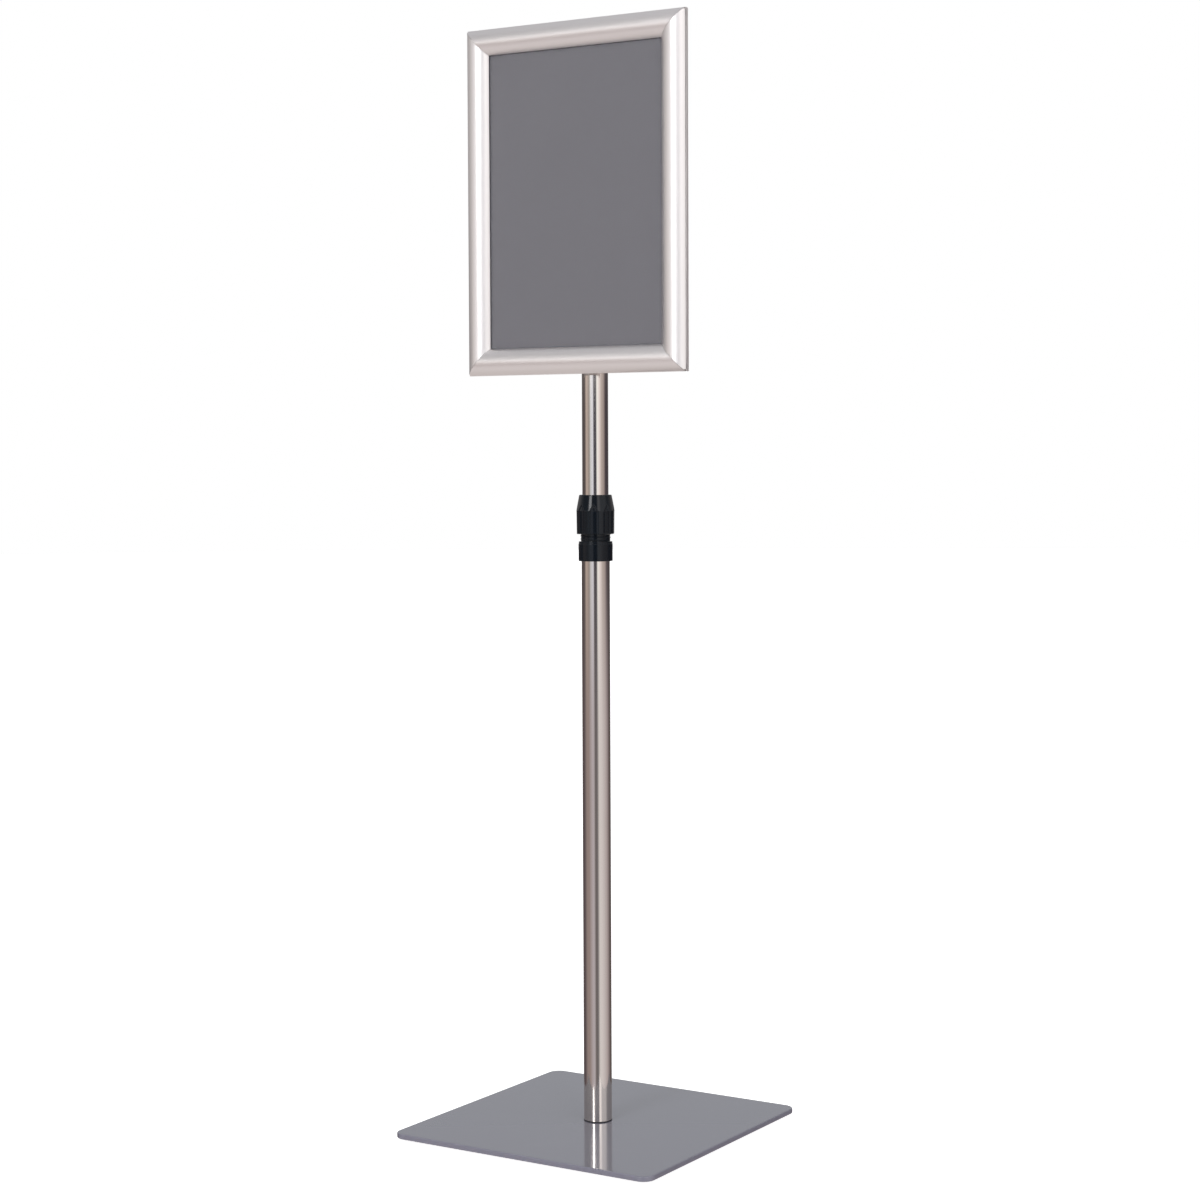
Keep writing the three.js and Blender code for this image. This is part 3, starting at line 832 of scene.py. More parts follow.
# ------------------------------------------------------------------ workshop
@dataclass
class Workshop:
    """What every sub-assembly needs: the finishes, the trees, and how a piece is handed over."""

    materials: dict[str, bpy.types.Material] = field(init=False)
    trees: dict[str, bpy.types.NodeTree] = field(init=False)

    def __post_init__(self) -> None:
        """Builds the materials and the geometry node trees."""
        effects = SharedEffects()
        self.materials = {key: finish.build(effects) for key, finish in FINISHES.items()}
        self.trees = {"repeat": repeat_tree(), "flutes": flute_tree(), "thread": thread_tree()}

    def dress_node(self, node: str, finish: str) -> None:
        """Gives a CAD node that is kept as it is one finish.

        Args:
            node: The CAD node.
            finish: The finish.
        """
        for slot in bpy.data.objects[node].material_slots:
            slot.material = self.materials[finish]
        LOG.info("%s keeps its shape, in %s", node, finish)

    def hand_over(self, piece: bpy.types.Object, finish: str, body: str, *nodes: str,
                  crease: float = 32.0) -> None:
        """Smooths and dresses a piece, and hands it to the frame.

        Args:
            piece: The piece.
            finish: Its finish.
            body: The body that it rides on.
            nodes: The CAD nodes that it stands for.
            crease: The angle in degrees past which two faces meet at a crease.
        """
        smoothed(piece, crease)
        piece.data.materials.clear()
        piece.data.materials.append(self.materials[finish])
        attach(piece, body)
        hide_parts(*nodes)
        LOG.info("%s rides on %s, %d faces", piece.name, body, len(piece.data.polygons))

    def repeated(self, name: str, pattern: bpy.types.Object, places: Sequence[Sequence[float]],
                 finish: str) -> bpy.types.Object:
        """Sets copies of a pattern piece at several places.

        Args:
            name: The name of the result.
            pattern: The piece to copy, which is removed afterwards.
            places: Where each copy's origin goes.
            finish: The finish of the copies.

        Returns:
            One object that holds all the copies.
        """
        work = bmesh.new()
        for place in places:
            work.verts.new(place)
        result = as_object(name, work)
        values = {"Piece": pattern, "Material": self.materials[finish]}
        run_tree(result, self.trees["repeat"], values)
        bpy.data.objects.remove(pattern)
        return result


def middle(node: str) -> Vector:
    """Returns the centre of a CAD node's box."""
    low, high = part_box(node)
    return (low + high) / 2


def numbered(stem: str, count: int = 4) -> list[str]:
    """Returns the names of some CAD nodes that are numbered from 1."""
    return [f"{stem}_{i}" for i in range(1, count + 1)]


# ------------------------------------------------------------------ base
@dataclass
class Base:
    """The weighted plate, its feet and fastener, and the lower tube."""

    shop: Workshop
    corner: float = 12 * MM
    corner_steps: int = 16
    edge: float = 1.0 * MM
    hole: float = 5.3 * MM
    sink: float = 9.8 * MM
    foot_rings: tuple[float, ...] = (3.0, 5.5, 8.0)
    foot_groove: float = 0.25 * MM
    foot_rim: float = 0.5 * MM
    shank: float = 5 * MM
    socket: float = 3.5 * MM
    socket_depth: float = 2.5 * MM
    gasket_bore: float = 8 * MM
    chamfer: float = 0.4 * MM
    tube_wall: float = 0.8 * MM

    def build(self) -> None:
        """Builds every piece of the base."""
        self.plate()
        self.feet()
        self.bolt()
        self.gasket()
        self.insert()
        polished_tube(self.shop, "lower_tube", "base", self.tube_wall)

    def square(self, inset: float, z: float) -> Loop:
        """Makes one rounded-square loop of the plate.

        Args:
            inset: How far inside the plate's side it runs.
            z: Its height.

        Returns:
            The loop's points.
        """
        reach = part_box("base_plate")[1].x - self.corner
        outline = rounded_rectangle(reach, reach, self.corner - inset, self.corner_steps)
        return [(x, y, z) for x, y in outline]

    def ring(self, radius: float, z: float) -> Loop:
        """Makes one round loop of the plate, with as many points as a square one.

        Args:
            radius: Its radius.
            z: Its height.

        Returns:
            The loop's points.
        """
        count = 4 * (self.corner_steps + 1)
        lag = 0.04
        angles = [TAU * i / count - math.pi / 2 + lag for i in range(count)]
        return [(radius * math.cos(a), radius * math.sin(a), z) for a in angles]

    def plate(self) -> None:
        """Builds the plate from its centre hole, over its rounded rim, to its underside."""
        low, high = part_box("base_plate")
        edge, flat = self.edge, self.edge + 0.4 * MM
        rim = [math.radians(a) for a in (0, 18, 36, 54, 72, 90)]
        loops = [self.ring(self.hole, high.z), self.ring(2 * self.hole, high.z),
                 self.square(flat, high.z)]
        loops += [self.square(edge * (1 - math.sin(a)), high.z - edge * (1 - math.cos(a)))
                  for a in rim]
        loops += [self.square(edge * (1 - math.cos(a)), low.z + edge * (1 - math.sin(a)))
                  for a in rim]
        loops += [self.square(flat, low.z), self.ring(self.sink + 0.4 * MM, low.z),
                  self.ring(self.sink, low.z),
                  self.ring(self.hole, low.z + self.sink - self.hole)]
        work = bmesh.new()
        skin(work, [[work.verts.new(point) for point in loop] for loop in loops], around=True)
        piece = closed_object("weighted_plate", work)
        self.shop.hand_over(piece, "grey_coat", "base", "base_plate", crease=30)

    def feet(self) -> None:
        """Builds the four foot pads, each with a rounded rim and three rings underneath."""
        nodes = numbered("foot_pad")
        low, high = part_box(nodes[0])
        radius, height, rim = (high.x - low.x) / 2, high.z, self.foot_rim
        outline: Outline = [(0, 0)]
        for ring in self.foot_rings:
            outline += [((ring - 0.5) * MM, 0), (ring * MM, self.foot_groove),
                        ((ring + 0.5) * MM, 0)]
        outline += [*arc(radius - rim, rim, rim, -90, 0, 4), (radius, height), (0, height)]
        places = [(middle(node).x, middle(node).y, 0) for node in nodes]
        pad = turned("pad", outline, 48)
        piece = self.shop.repeated("foot_pads", pad, places, "black_rubber")
        self.shop.hand_over(piece, "black_rubber", "base", *nodes)

    def bolt(self) -> None:
        """Builds the countersunk bolt, with a socket in its head and a thread."""
        low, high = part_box("base_bolt")
        head, lip = high.x, 0.3 * MM
        thread = thread_edge(self.shank, 0.5 * MM, low.z + 6 * MM, 0.75 * MM, 19)
        outline = [(0, low.z), (head - lip, low.z), (head, low.z + lip),
                   (self.shank, low.z + head - self.shank), *thread,
                   (self.shank - MM, high.z), (0, high.z)]
        socket = extruded("socket", polygon(0, 0, self.socket, 6), low.z - MM,
                          low.z + self.socket_depth)
        piece = carved(turned("base_bolt_piece", outline, 72), [socket])
        self.shop.hand_over(piece, "zinc_steel", "base", "base_bolt", crease=28)

    def gasket(self) -> None:
        """Builds the thin gasket between the tube's foot and the plate."""
        low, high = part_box("base_gasket")
        outline = ring_outline(self.gasket_bore, high.x, low.z, high.z, 0.2 * MM)
        self.shop.hand_over(turned("foot_gasket", outline), "black_rubber", "base", "base_gasket")

    def insert(self) -> None:
        """Builds the threaded insert inside the tube's foot."""
        low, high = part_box("tube_foot_insert")
        cut = self.chamfer
        outline = [(self.hole, low.z), (high.x - cut, low.z), (high.x, low.z + cut),
                   (high.x, high.z - cut), (high.x - cut, high.z), (self.hole, high.z)]
        piece = turned("foot_insert", outline, 72)
        self.shop.hand_over(piece, "zinc_steel", "base", "tube_foot_insert")


def polished_tube(shop: Workshop, node: str, body: str, wall: float) -> None:
    """Builds one polished tube with rolled rims in place of its CAD node.

    Args:
        shop: The workshop.
        node: The CAD tube.
        body: The body that it rides on.
        wall: The tube's wall thickness.
    """
    low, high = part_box(node)
    outline = ring_outline(high.x - wall, high.x, low.z, high.z, 0.25 * MM)
    shop.hand_over(turned(f"polished_{node}", outline, 160), "stainless", body, node, crease=40)


# ------------------------------------------------------------------ twist lock
@dataclass
class TwistLock:
    """The lock collar with its threaded neck and split collet, the clamp ring and the nut."""

    shop: Workshop
    tube_bore: float = 13.7 * MM
    mast_bore: float = 12.7 * MM
    collar_height: float = 18.5 * MM
    collar_step: float = 2.3 * MM
    collar_inset: float = 0.35 * MM
    neck: float = 14.35 * MM
    neck_height: float = 33.5 * MM
    thread_height: float = 12 * MM
    thread_ridge: float = 0.55 * MM
    tip: float = 13.3 * MM
    slot: float = 2 * MM
    slot_depth: float = 5 * MM
    crown: float = 15.3 * MM
    counterbore: float = 5.7 * MM
    taper_height: float = 22 * MM
    flutes: int = 8
    flute_phase: float = math.radians(-63.4)
    flute_half_width: float = 4.7 * MM
    flute_depth: float = 0.80 * MM
    flute_wall: float = 1.8 * MM
    shoulder_height: float = 20.8 * MM
    peak_height: float = 28.3 * MM

    def build(self) -> None:
        """Builds every piece of the twist lock."""
        self.collar()
        self.ring()
        self.nut()

    def collar(self) -> None:
        """Builds the collar, its neck's thread, and the slots between the collet's fingers."""
        low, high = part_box("lock_collar")
        radius, foot, tip = high.x, low.z, high.z
        top, neck_top = foot + self.collar_height, foot + self.neck_height
        step, inner = top - self.collar_step, radius - self.collar_inset
        root = self.neck - self.thread_ridge
        outline = rounded_outline([
            (self.tube_bore, foot), (radius, foot), (radius, step), (inner, step + 0.3 * MM),
            (inner, top), (root, top), (root, neck_top), (self.tip, tip), (self.mast_bore, tip),
            (self.mast_bore, top), (self.tube_bore, top),
        ], 0.45 * MM)
        piece = turned("lock_collar_piece", outline, 128)
        half, end = self.slot / 2, neck_top - self.slot_depth
        across = [(-half, end), (half, end), (half, tip + MM), (-half, tip + MM)]
        carved(piece, [extruded("slot", across, -radius, radius, axis)
                       for axis in (Axis.X, Axis.Y)])
        run_tree(piece, self.shop.trees["thread"], {
            "Radius": root, "Turns": 4.0, "Height": self.thread_height, "Start": top + 1.0 * MM,
            "Ridge": self.thread_ridge, "Material": self.shop.materials["black_plastic"],
        })
        self.shop.hand_over(piece, "black_plastic", "base", "lock_collar", crease=35)

    def ring(self) -> None:
        """Builds the tapered clamp ring inside the nut."""
        low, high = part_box("clamp_ring")
        outline = rounded_outline([
            (high.x - 0.3 * MM, low.z), (high.x, low.z + 0.4 * MM), (high.x, high.z),
            (self.mast_bore, high.z), (self.mast_bore, low.z + 8 * MM),
        ], 0.3 * MM)
        piece = turned("clamp_ring_piece", outline)
        self.shop.hand_over(piece, "black_nylon", "lock_ring", "clamp_ring")

    def nut(self) -> None:
        """Builds the twist nut: a turned body with arched finger flutes pressed into it."""
        low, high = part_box("twist_nut")
        radius, foot, top = high.x, low.z, high.z
        bore, shelf = self.neck + 0.3 * MM, top - self.counterbore
        shape = rounded_outline([
            (bore, foot), (radius - 0.25 * MM, foot), (radius, foot + self.taper_height),
            (self.crown, top), (self.mast_bore, top), (self.mast_bore, shelf), (bore, shelf),
        ], 0.7 * MM, 6)
        dense: Outline = []
        for a, b in zip(shape, shape[1:] + shape[:1]):
            count = max(1, int((Vector(b) - Vector(a)).length / (0.35 * MM)))
            dense += [tuple(Vector(a).lerp(Vector(b), k / count)) for k in range(count)]
        piece = turned("twist_nut_piece", dense, 384)
        run_tree(piece, self.shop.trees["flutes"], {
            "Count": float(self.flutes), "Phase": self.flute_phase, "Radius": radius,
            "Half Width": self.flute_half_width, "Depth": self.flute_depth,
            "Wall": self.flute_wall, "Shoulder": foot + self.shoulder_height,
            "Peak": foot + self.peak_height, "Inner": bore + 0.3 * MM,
            "Material": self.shop.materials["black_plastic"],
        })
        self.shop.hand_over(piece, "black_plastic", "lock_nut", "twist_nut", crease=60)


# ------------------------------------------------------------------ mast
@dataclass
class Mast:
    """The guide bush, the upper tube and the plug that carries the head."""

    shop: Workshop
    tube_wall: float = 0.8 * MM
    bush_bore: float = 8 * MM
    bush_flange: float = 11.7 * MM
    lug_half: float = 6 * MM
    lug_radius: float = 10 * MM
    lug_hole: float = 3.3 * MM
    play: float = 0.3 * MM
    plug_collar: float = 5 * MM
    plug_top: float = 8 * MM

    def build(self) -> None:
        """Builds every piece of the mast."""
        polished_tube(self.shop, "upper_tube", "mast", self.tube_wall)
        self.bush()
        self.plug()

    def bush(self) -> None:
        """Builds the nylon bush that runs in the lower tube."""
        low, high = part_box("guide_bush")
        spigot, lead = high.x - 1.0 * MM, 0.8 * MM
        flange = low.z + self.bush_flange
        outline = rounded_outline([
            (self.bush_bore, low.z), (high.x - lead, low.z), (high.x, low.z + lead),
            (high.x, flange), (spigot, flange), (spigot, high.z), (self.bush_bore, high.z),
        ], 0.4 * MM)
        piece = turned("guide_bush_piece", outline)
        self.shop.hand_over(piece, "black_nylon", "slider", "guide_bush")

    def plug(self) -> None:
        """Builds the head plug: a spigot, a collar, and the lug that the fork tilts on."""
        low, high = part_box("head_plug")
        tube_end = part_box("upper_tube")[1]
        reach, wide = self.lug_radius, high.x
        pivot, seat = high.z - reach, tube_end.z + self.play
        spigot = tube_end.x - self.tube_wall - self.play
        outline = rounded_profile([
            (0, low.z), (spigot, low.z), (spigot, seat), (wide, seat),
            (wide, seat + self.plug_collar), (wide - 1.8 * MM, seat + self.plug_top),
            (0, seat + self.plug_top),
        ], 0.6 * MM)
        piece = turned("head_plug_piece", outline)
        side = [(-reach, seat + 6 * MM), (reach, seat + 6 * MM), *arc(0, pivot, reach, 0, 180, 32)]
        carved(piece, [extruded("lug", side, -self.lug_half, self.lug_half, Axis.X)], "UNION")
        round_hole = polygon(0, pivot, self.lug_hole, 48)
        carved(piece, [extruded("hole", round_hole, -reach, reach, Axis.X)])
        softened(piece, 0.5 * MM)
        self.shop.hand_over(piece, "black_nylon", "mast", "head_plug", crease=40)


# ------------------------------------------------------------------ head
@dataclass
class Head:
    """The tilt fork with its bolt, washer and knob, and the swivel joint to the frame."""

    shop: Workshop
    pin: float = 3 * MM
    hole: float = 3.3 * MM
    hexagon_corner: float = 5.8 * MM
    flange: float = 3 * MM
    ear_inner: float = 6.3 * MM
    ear_outer: float = 9.8 * MM
    ear_radius: float = 10 * MM
    knob_lobes: int = 6
    knob_swell: float = 1.2 * MM
    lobe_steps: int = 24
    hub: float = 6.5 * MM

    @property
    def pivot(self) -> float:
        """Returns the height of the tilt and swivel axes."""
        return middle("tilt_fork").z

    @property
    def centre(self) -> tuple[float, float, float]:
        """Returns the point where the two axes meet."""
        return (0, 0, self.pivot)

    def build(self) -> None:
        """Builds every piece of the head."""
        self.fork()
        self.bolt()
        self.washers()
        self.knob()
        self.swivel()

    def bore(self, axis: Axis, reach: tuple[float, float]) -> bpy.types.Object:
        """Makes a round cutter through the pivot.

        Args:
            axis: The cutter's axis.
            reach: Its two ends along the axis.

        Returns:
            The cutter.
        """
        if axis is Axis.X:
            return extruded("bore", polygon(0, self.pivot, self.hole, 48), *reach, axis)
        return extruded("bore", polygon(0, 0, self.hole, 48), *reach, axis, self.centre)

    def fork(self) -> None:
        """Builds the fork: a round flange with two ears beside the lug."""
        low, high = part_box("tilt_fork")
        back, root, rise = low.y + self.flange, low.y + MM, self.ear_radius
        outline = rounded_profile([(0, low.y), (high.x, low.y), (high.x, back), (0, back)],
                                  0.5 * MM)
        piece = turned("tilt_fork_piece", outline, 96, Axis.Y, self.centre)
        ear = [(root, self.pivot - rise), *arc(0, self.pivot, rise, -90, 90, 32),
               (root, self.pivot + rise)]
        ears = []
        for side in (-1, 1):
            reach = sorted((side * self.ear_inner, side * self.ear_outer))
            ears.append(extruded("ear", ear, *reach, Axis.X))
        carved(piece, ears, "UNION")
        carved(piece, [self.bore(Axis.X, (-0.02, 0.02)), self.bore(Axis.Y, (-0.03, 0.0))])
        softened(piece, 0.4 * MM)
        self.shop.hand_over(piece, "zinc_steel", "tilt_head", "tilt_fork", crease=40)

    def hexagon(self, name: str, low: float, high: float, axis: Axis) -> bpy.types.Object:
        """Makes a chamfered hexagon about the pivot, as on a bolt's head or a nut.

        Args:
            name: The piece's name.
            low: Its lower end along the axis.
            high: Its upper end.
            axis: Its axis.

        Returns:
            The hexagon.
        """
        corner = self.hexagon_corner
        inner, outer, cut = corner - 0.5 * MM, corner + 0.2 * MM, 0.6 * MM
        body = extruded(name, polygon(0, 0, corner, 6), low, high, axis, self.centre)
        chamfer = turned("chamfer", [
            (0, low), (inner, low), (outer, low + cut), (outer, high - cut), (inner, high),
            (0, high),
        ], 64, axis, self.centre)
        return carved(body, [chamfer], "INTERSECT")

    def bolt(self) -> None:
        """Builds the tilt bolt: a hexagon head and a shank that runs into the knob."""
        low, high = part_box("tilt_bolt")
        piece = self.hexagon("tilt_bolt_piece", low.x, low.x + 4 * MM, Axis.X)
        thread = thread_edge(self.pin, 0.3 * MM, high.x - 12.5 * MM, 0.5 * MM, 24)
        neck = low.x + 3 * MM
        outline = [(0, neck), (self.pin, neck), *thread, (self.pin - 0.6 * MM, high.x),
                   (0, high.x)]
        carved(piece, [turned("shank", outline, 48, Axis.X, self.centre)], "UNION")
        self.shop.hand_over(piece, "zinc_steel", "tilt_head", "tilt_bolt", crease=25)

    def washers(self) -> None:
        """Builds the washer under the knob and the friction washer behind the frame's disc."""
        for node, axis, finish in (("tilt_washer", Axis.X, "zinc_steel"),
                                   ("swivel_washer", Axis.Y, "black_nylon")):
            low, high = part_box(node)
            index = 0 if axis is Axis.X else 1
            outline = ring_outline(self.hole, (high.z - low.z) / 2, low[index], high[index],
                                   0.2 * MM)
            piece = turned(f"{node}_piece", outline, 72, axis, self.centre)
            self.shop.hand_over(piece, finish, "tilt_head", node)

    def knob(self) -> None:
        """Builds the tilt knob: a hub and a lobed grip with rounded edges."""
        low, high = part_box("tilt_knob")
        radius = (high.z - low.z) / 2 - self.knob_swell
        outline: Outline = []
        for i in range(self.knob_lobes * self.lobe_steps):
            angle = TAU * i / (self.knob_lobes * self.lobe_steps)
            reach = radius + self.knob_swell * math.cos(self.knob_lobes * angle)
            outline.append((reach * math.cos(angle), self.pivot + reach * math.sin(angle)))
        piece = extruded("tilt_knob_piece", outline, low.x + 4 * MM, high.x, Axis.X)
        softened(piece, 1.4 * MM, 5)
        hub_end, dish_floor, rim = low.x + 6 * MM, high.x - 0.8 * MM, high.x + MM
        hub_outline = rounded_profile(
            [(0, low.x), (self.hub, low.x), (self.hub, hub_end), (0, hub_end)], 0.4 * MM)
        hub = turned("hub", hub_outline, 64, Axis.X, self.centre)
        dish = turned("dish", [(0, dish_floor), (6 * MM, dish_floor), (8 * MM, rim), (0, rim)],
                      64, Axis.X, self.centre)
        carved(piece, [hub], "UNION")
        shank_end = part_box("tilt_bolt")[1].x
        carved(piece, [dish, self.bore(Axis.X, (low.x - MM, shank_end + MM))])
        self.shop.hand_over(piece, "black_plastic", "knob", "tilt_knob", crease=40)

    def swivel(self) -> None:
        """Builds the low-headed swivel bolt and its nut."""
        low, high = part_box("swivel_bolt")
        neck = low.y + 1.2 * MM
        outline = rounded_profile([
            (0, low.y), (6 * MM, low.y), (6 * MM, neck), (self.pin, neck), (self.pin, high.y),
            (0, high.y),
        ], 0.4 * MM)
        bolt = turned("swivel_bolt_piece", outline, 72, Axis.Y, self.centre)
        self.shop.hand_over(bolt, "zinc_steel", "frame", "swivel_bolt")
        low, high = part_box("swivel_nut")
        nut = self.hexagon("swivel_nut_piece", low.y, high.y, Axis.Y)
        carved(nut, [self.bore(Axis.Y, (low.y - MM, high.y + MM))])
        self.shop.hand_over(nut, "zinc_steel", "frame", "swivel_nut", crease=25)


# ------------------------------------------------------------------ frame carrier
def holes_at(nodes: Iterable[str], radius: float, reach: float) -> list[bpy.types.Object]:
    """Makes round cutters along Y through the centres of some CAD nodes.

    Args:
        nodes: The CAD nodes.
        radius: The cutters' radius.
        reach: How far back from the stand's middle they start.

    Returns:
        The cutters.
    """
    outline = polygon(0, 0, radius, 24)
    centres = [middle(node) for node in nodes]
    return [extruded("hole", outline, -reach, 0.0, Axis.Y, (c.x, 0, c.z)) for c in centres]


@dataclass
class Carrier:
    """The strap and disc on the back of the frame, with their rivets and screws."""

    shop: Workshop
    hole: float = 3.3 * MM
    rivet_hole: float = 2.3 * MM
    screw_hole: float = 1.8 * MM
    strap_corner: float = 6 * MM
    rivet_shank: float = 2 * MM
    rivet_dome: float = 1.1 * MM
    screw_shank: float = 1.5 * MM
    screw_dome: float = 1.2 * MM
    screw_head: float = 1.7 * MM
    cutter_reach: float = 0.05

    def build(self) -> None:
        """Builds every piece of the carrier."""
        self.strap()
        self.disc()
        self.rivets()
        self.screws()

    def strap(self) -> None:
        """Builds the strap with rounded corners."""
        low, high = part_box("back_strap")
        corner = self.strap_corner
        outline = rounded_rectangle(high.x - corner, (high.z - low.z) / 2 - corner, corner, 10)
        piece = extruded("back_strap_piece", outline, low.y, high.y, Axis.Y,
                         (0, 0, middle("back_strap").z))
        cutters = holes_at(numbered("disc_rivet"), self.rivet_hole, self.cutter_reach)
        cutters += holes_at(numbered("strap_screw"), self.screw_hole, self.cutter_reach)
        cutters += holes_at(["swivel_bolt"], self.hole, self.cutter_reach)
        softened(carved(piece, cutters), 0.25 * MM, 2)
        self.shop.hand_over(piece, "zinc_steel", "frame", "back_strap", crease=40)

    def disc(self) -> None:
        """Builds the swivel disc."""
        low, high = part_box("swivel_disc")
        outline = rounded_profile([(0, low.y), (high.x, low.y), (high.x, high.y), (0, high.y)],
                                  0.5 * MM)
        piece = turned("swivel_disc_piece", outline, 128, Axis.Y, (0, 0, middle("swivel_disc").z))
        cutters = holes_at(numbered("disc_rivet"), self.rivet_hole, self.cutter_reach)
        cutters += holes_at(["swivel_bolt"], self.hole, self.cutter_reach)
        carved(piece, cutters)
        self.shop.hand_over(piece, "zinc_steel", "frame", "swivel_disc", crease=40)

    def fasteners(self, name: str, pattern: bpy.types.Object, nodes: list[str],
                  crease: float) -> None:
        """Sets copies of one fastener in place of its CAD nodes.

        Args:
            name: The name of the result.
            pattern: The fastener, built along +Y from the origin.
            nodes: The CAD nodes.
            crease: The angle in degrees past which two faces meet at a crease.
        """
        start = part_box(nodes[0])[0].y
        places = [(middle(node).x, start, middle(node).z) for node in nodes]
        piece = self.shop.repeated(name, pattern, places, "zinc_steel")
        self.shop.hand_over(piece, "zinc_steel", "frame", *nodes, crease=crease)

    def rivets(self) -> None:
        """Builds the four domed rivets."""
        nodes = numbered("disc_rivet")
        low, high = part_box(nodes[0])
        length, head, dome = high.y - low.y, (high.x - low.x) / 2, self.rivet_dome
        outline = [(0, 0), *arc(head - MM, MM, MM, -90, 0, 5), (self.rivet_shank, MM),
                   (self.rivet_shank, length - dome), (head, length - dome),
                   *arc(head - dome, length - dome, dome, 10, 90, 6), (0, length)]
        self.fasteners("disc_rivets", turned("rivet", outline, 40, Axis.Y), nodes, 35)

    def screws(self) -> None:
        """Builds the four strap screws, each with a cross recess and a thread."""
        nodes = numbered("strap_screw")
        low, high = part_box(nodes[0])
        length, head, shank = high.y - low.y, (high.x - low.x) / 2, self.screw_shank
        under, pitch = length - self.screw_head, 0.4 * MM
        rim = under + 0.5 * MM
        thread = thread_edge(shank, 0.35 * MM, 1.2 * MM, pitch, int((under - 1.6 * MM) / pitch))
        outline = [(0, 0), (0.5 * MM, 0.4 * MM), *thread, (shank, under), (head, under),
                   (head, rim), *arc(head - self.screw_dome, rim, self.screw_dome, 10, 90, 6),
                   (0, length)]
        pattern = turned("screw", outline, 40, Axis.Y)
        wide, thin = 1.7 * MM, 0.45 * MM
        for x, y in ((wide, thin), (thin, wide)):
            cross = [(-x, -y), (x, -y), (x, y), (-x, y)]
            carved(pattern, [extruded("cross", cross, length - 1.1 * MM, length + MM, Axis.Y)])
        self.fasteners("strap_screws", pattern, nodes, 30)


# ------------------------------------------------------------------ snap frame
class Side(Enum):
    """The four sides of the frame, and how far each one is turned from the bottom one."""

    BOTTOM = 0
    RIGHT = -90
    TOP = 180
    LEFT = 90

    @property
    def label(self) -> str:
        """Returns the side's name in CAD node names."""
        return self.name.lower()

    @property
    def upright(self) -> bool:
        """Returns whether the side stands upright."""
        return self in (Side.RIGHT, Side.LEFT)

    @property
    def turn(self) -> Matrix:
        """Returns the turn from the bottom side to this one."""
        return Matrix.Rotation(math.radians(self.value), 4, "Y")


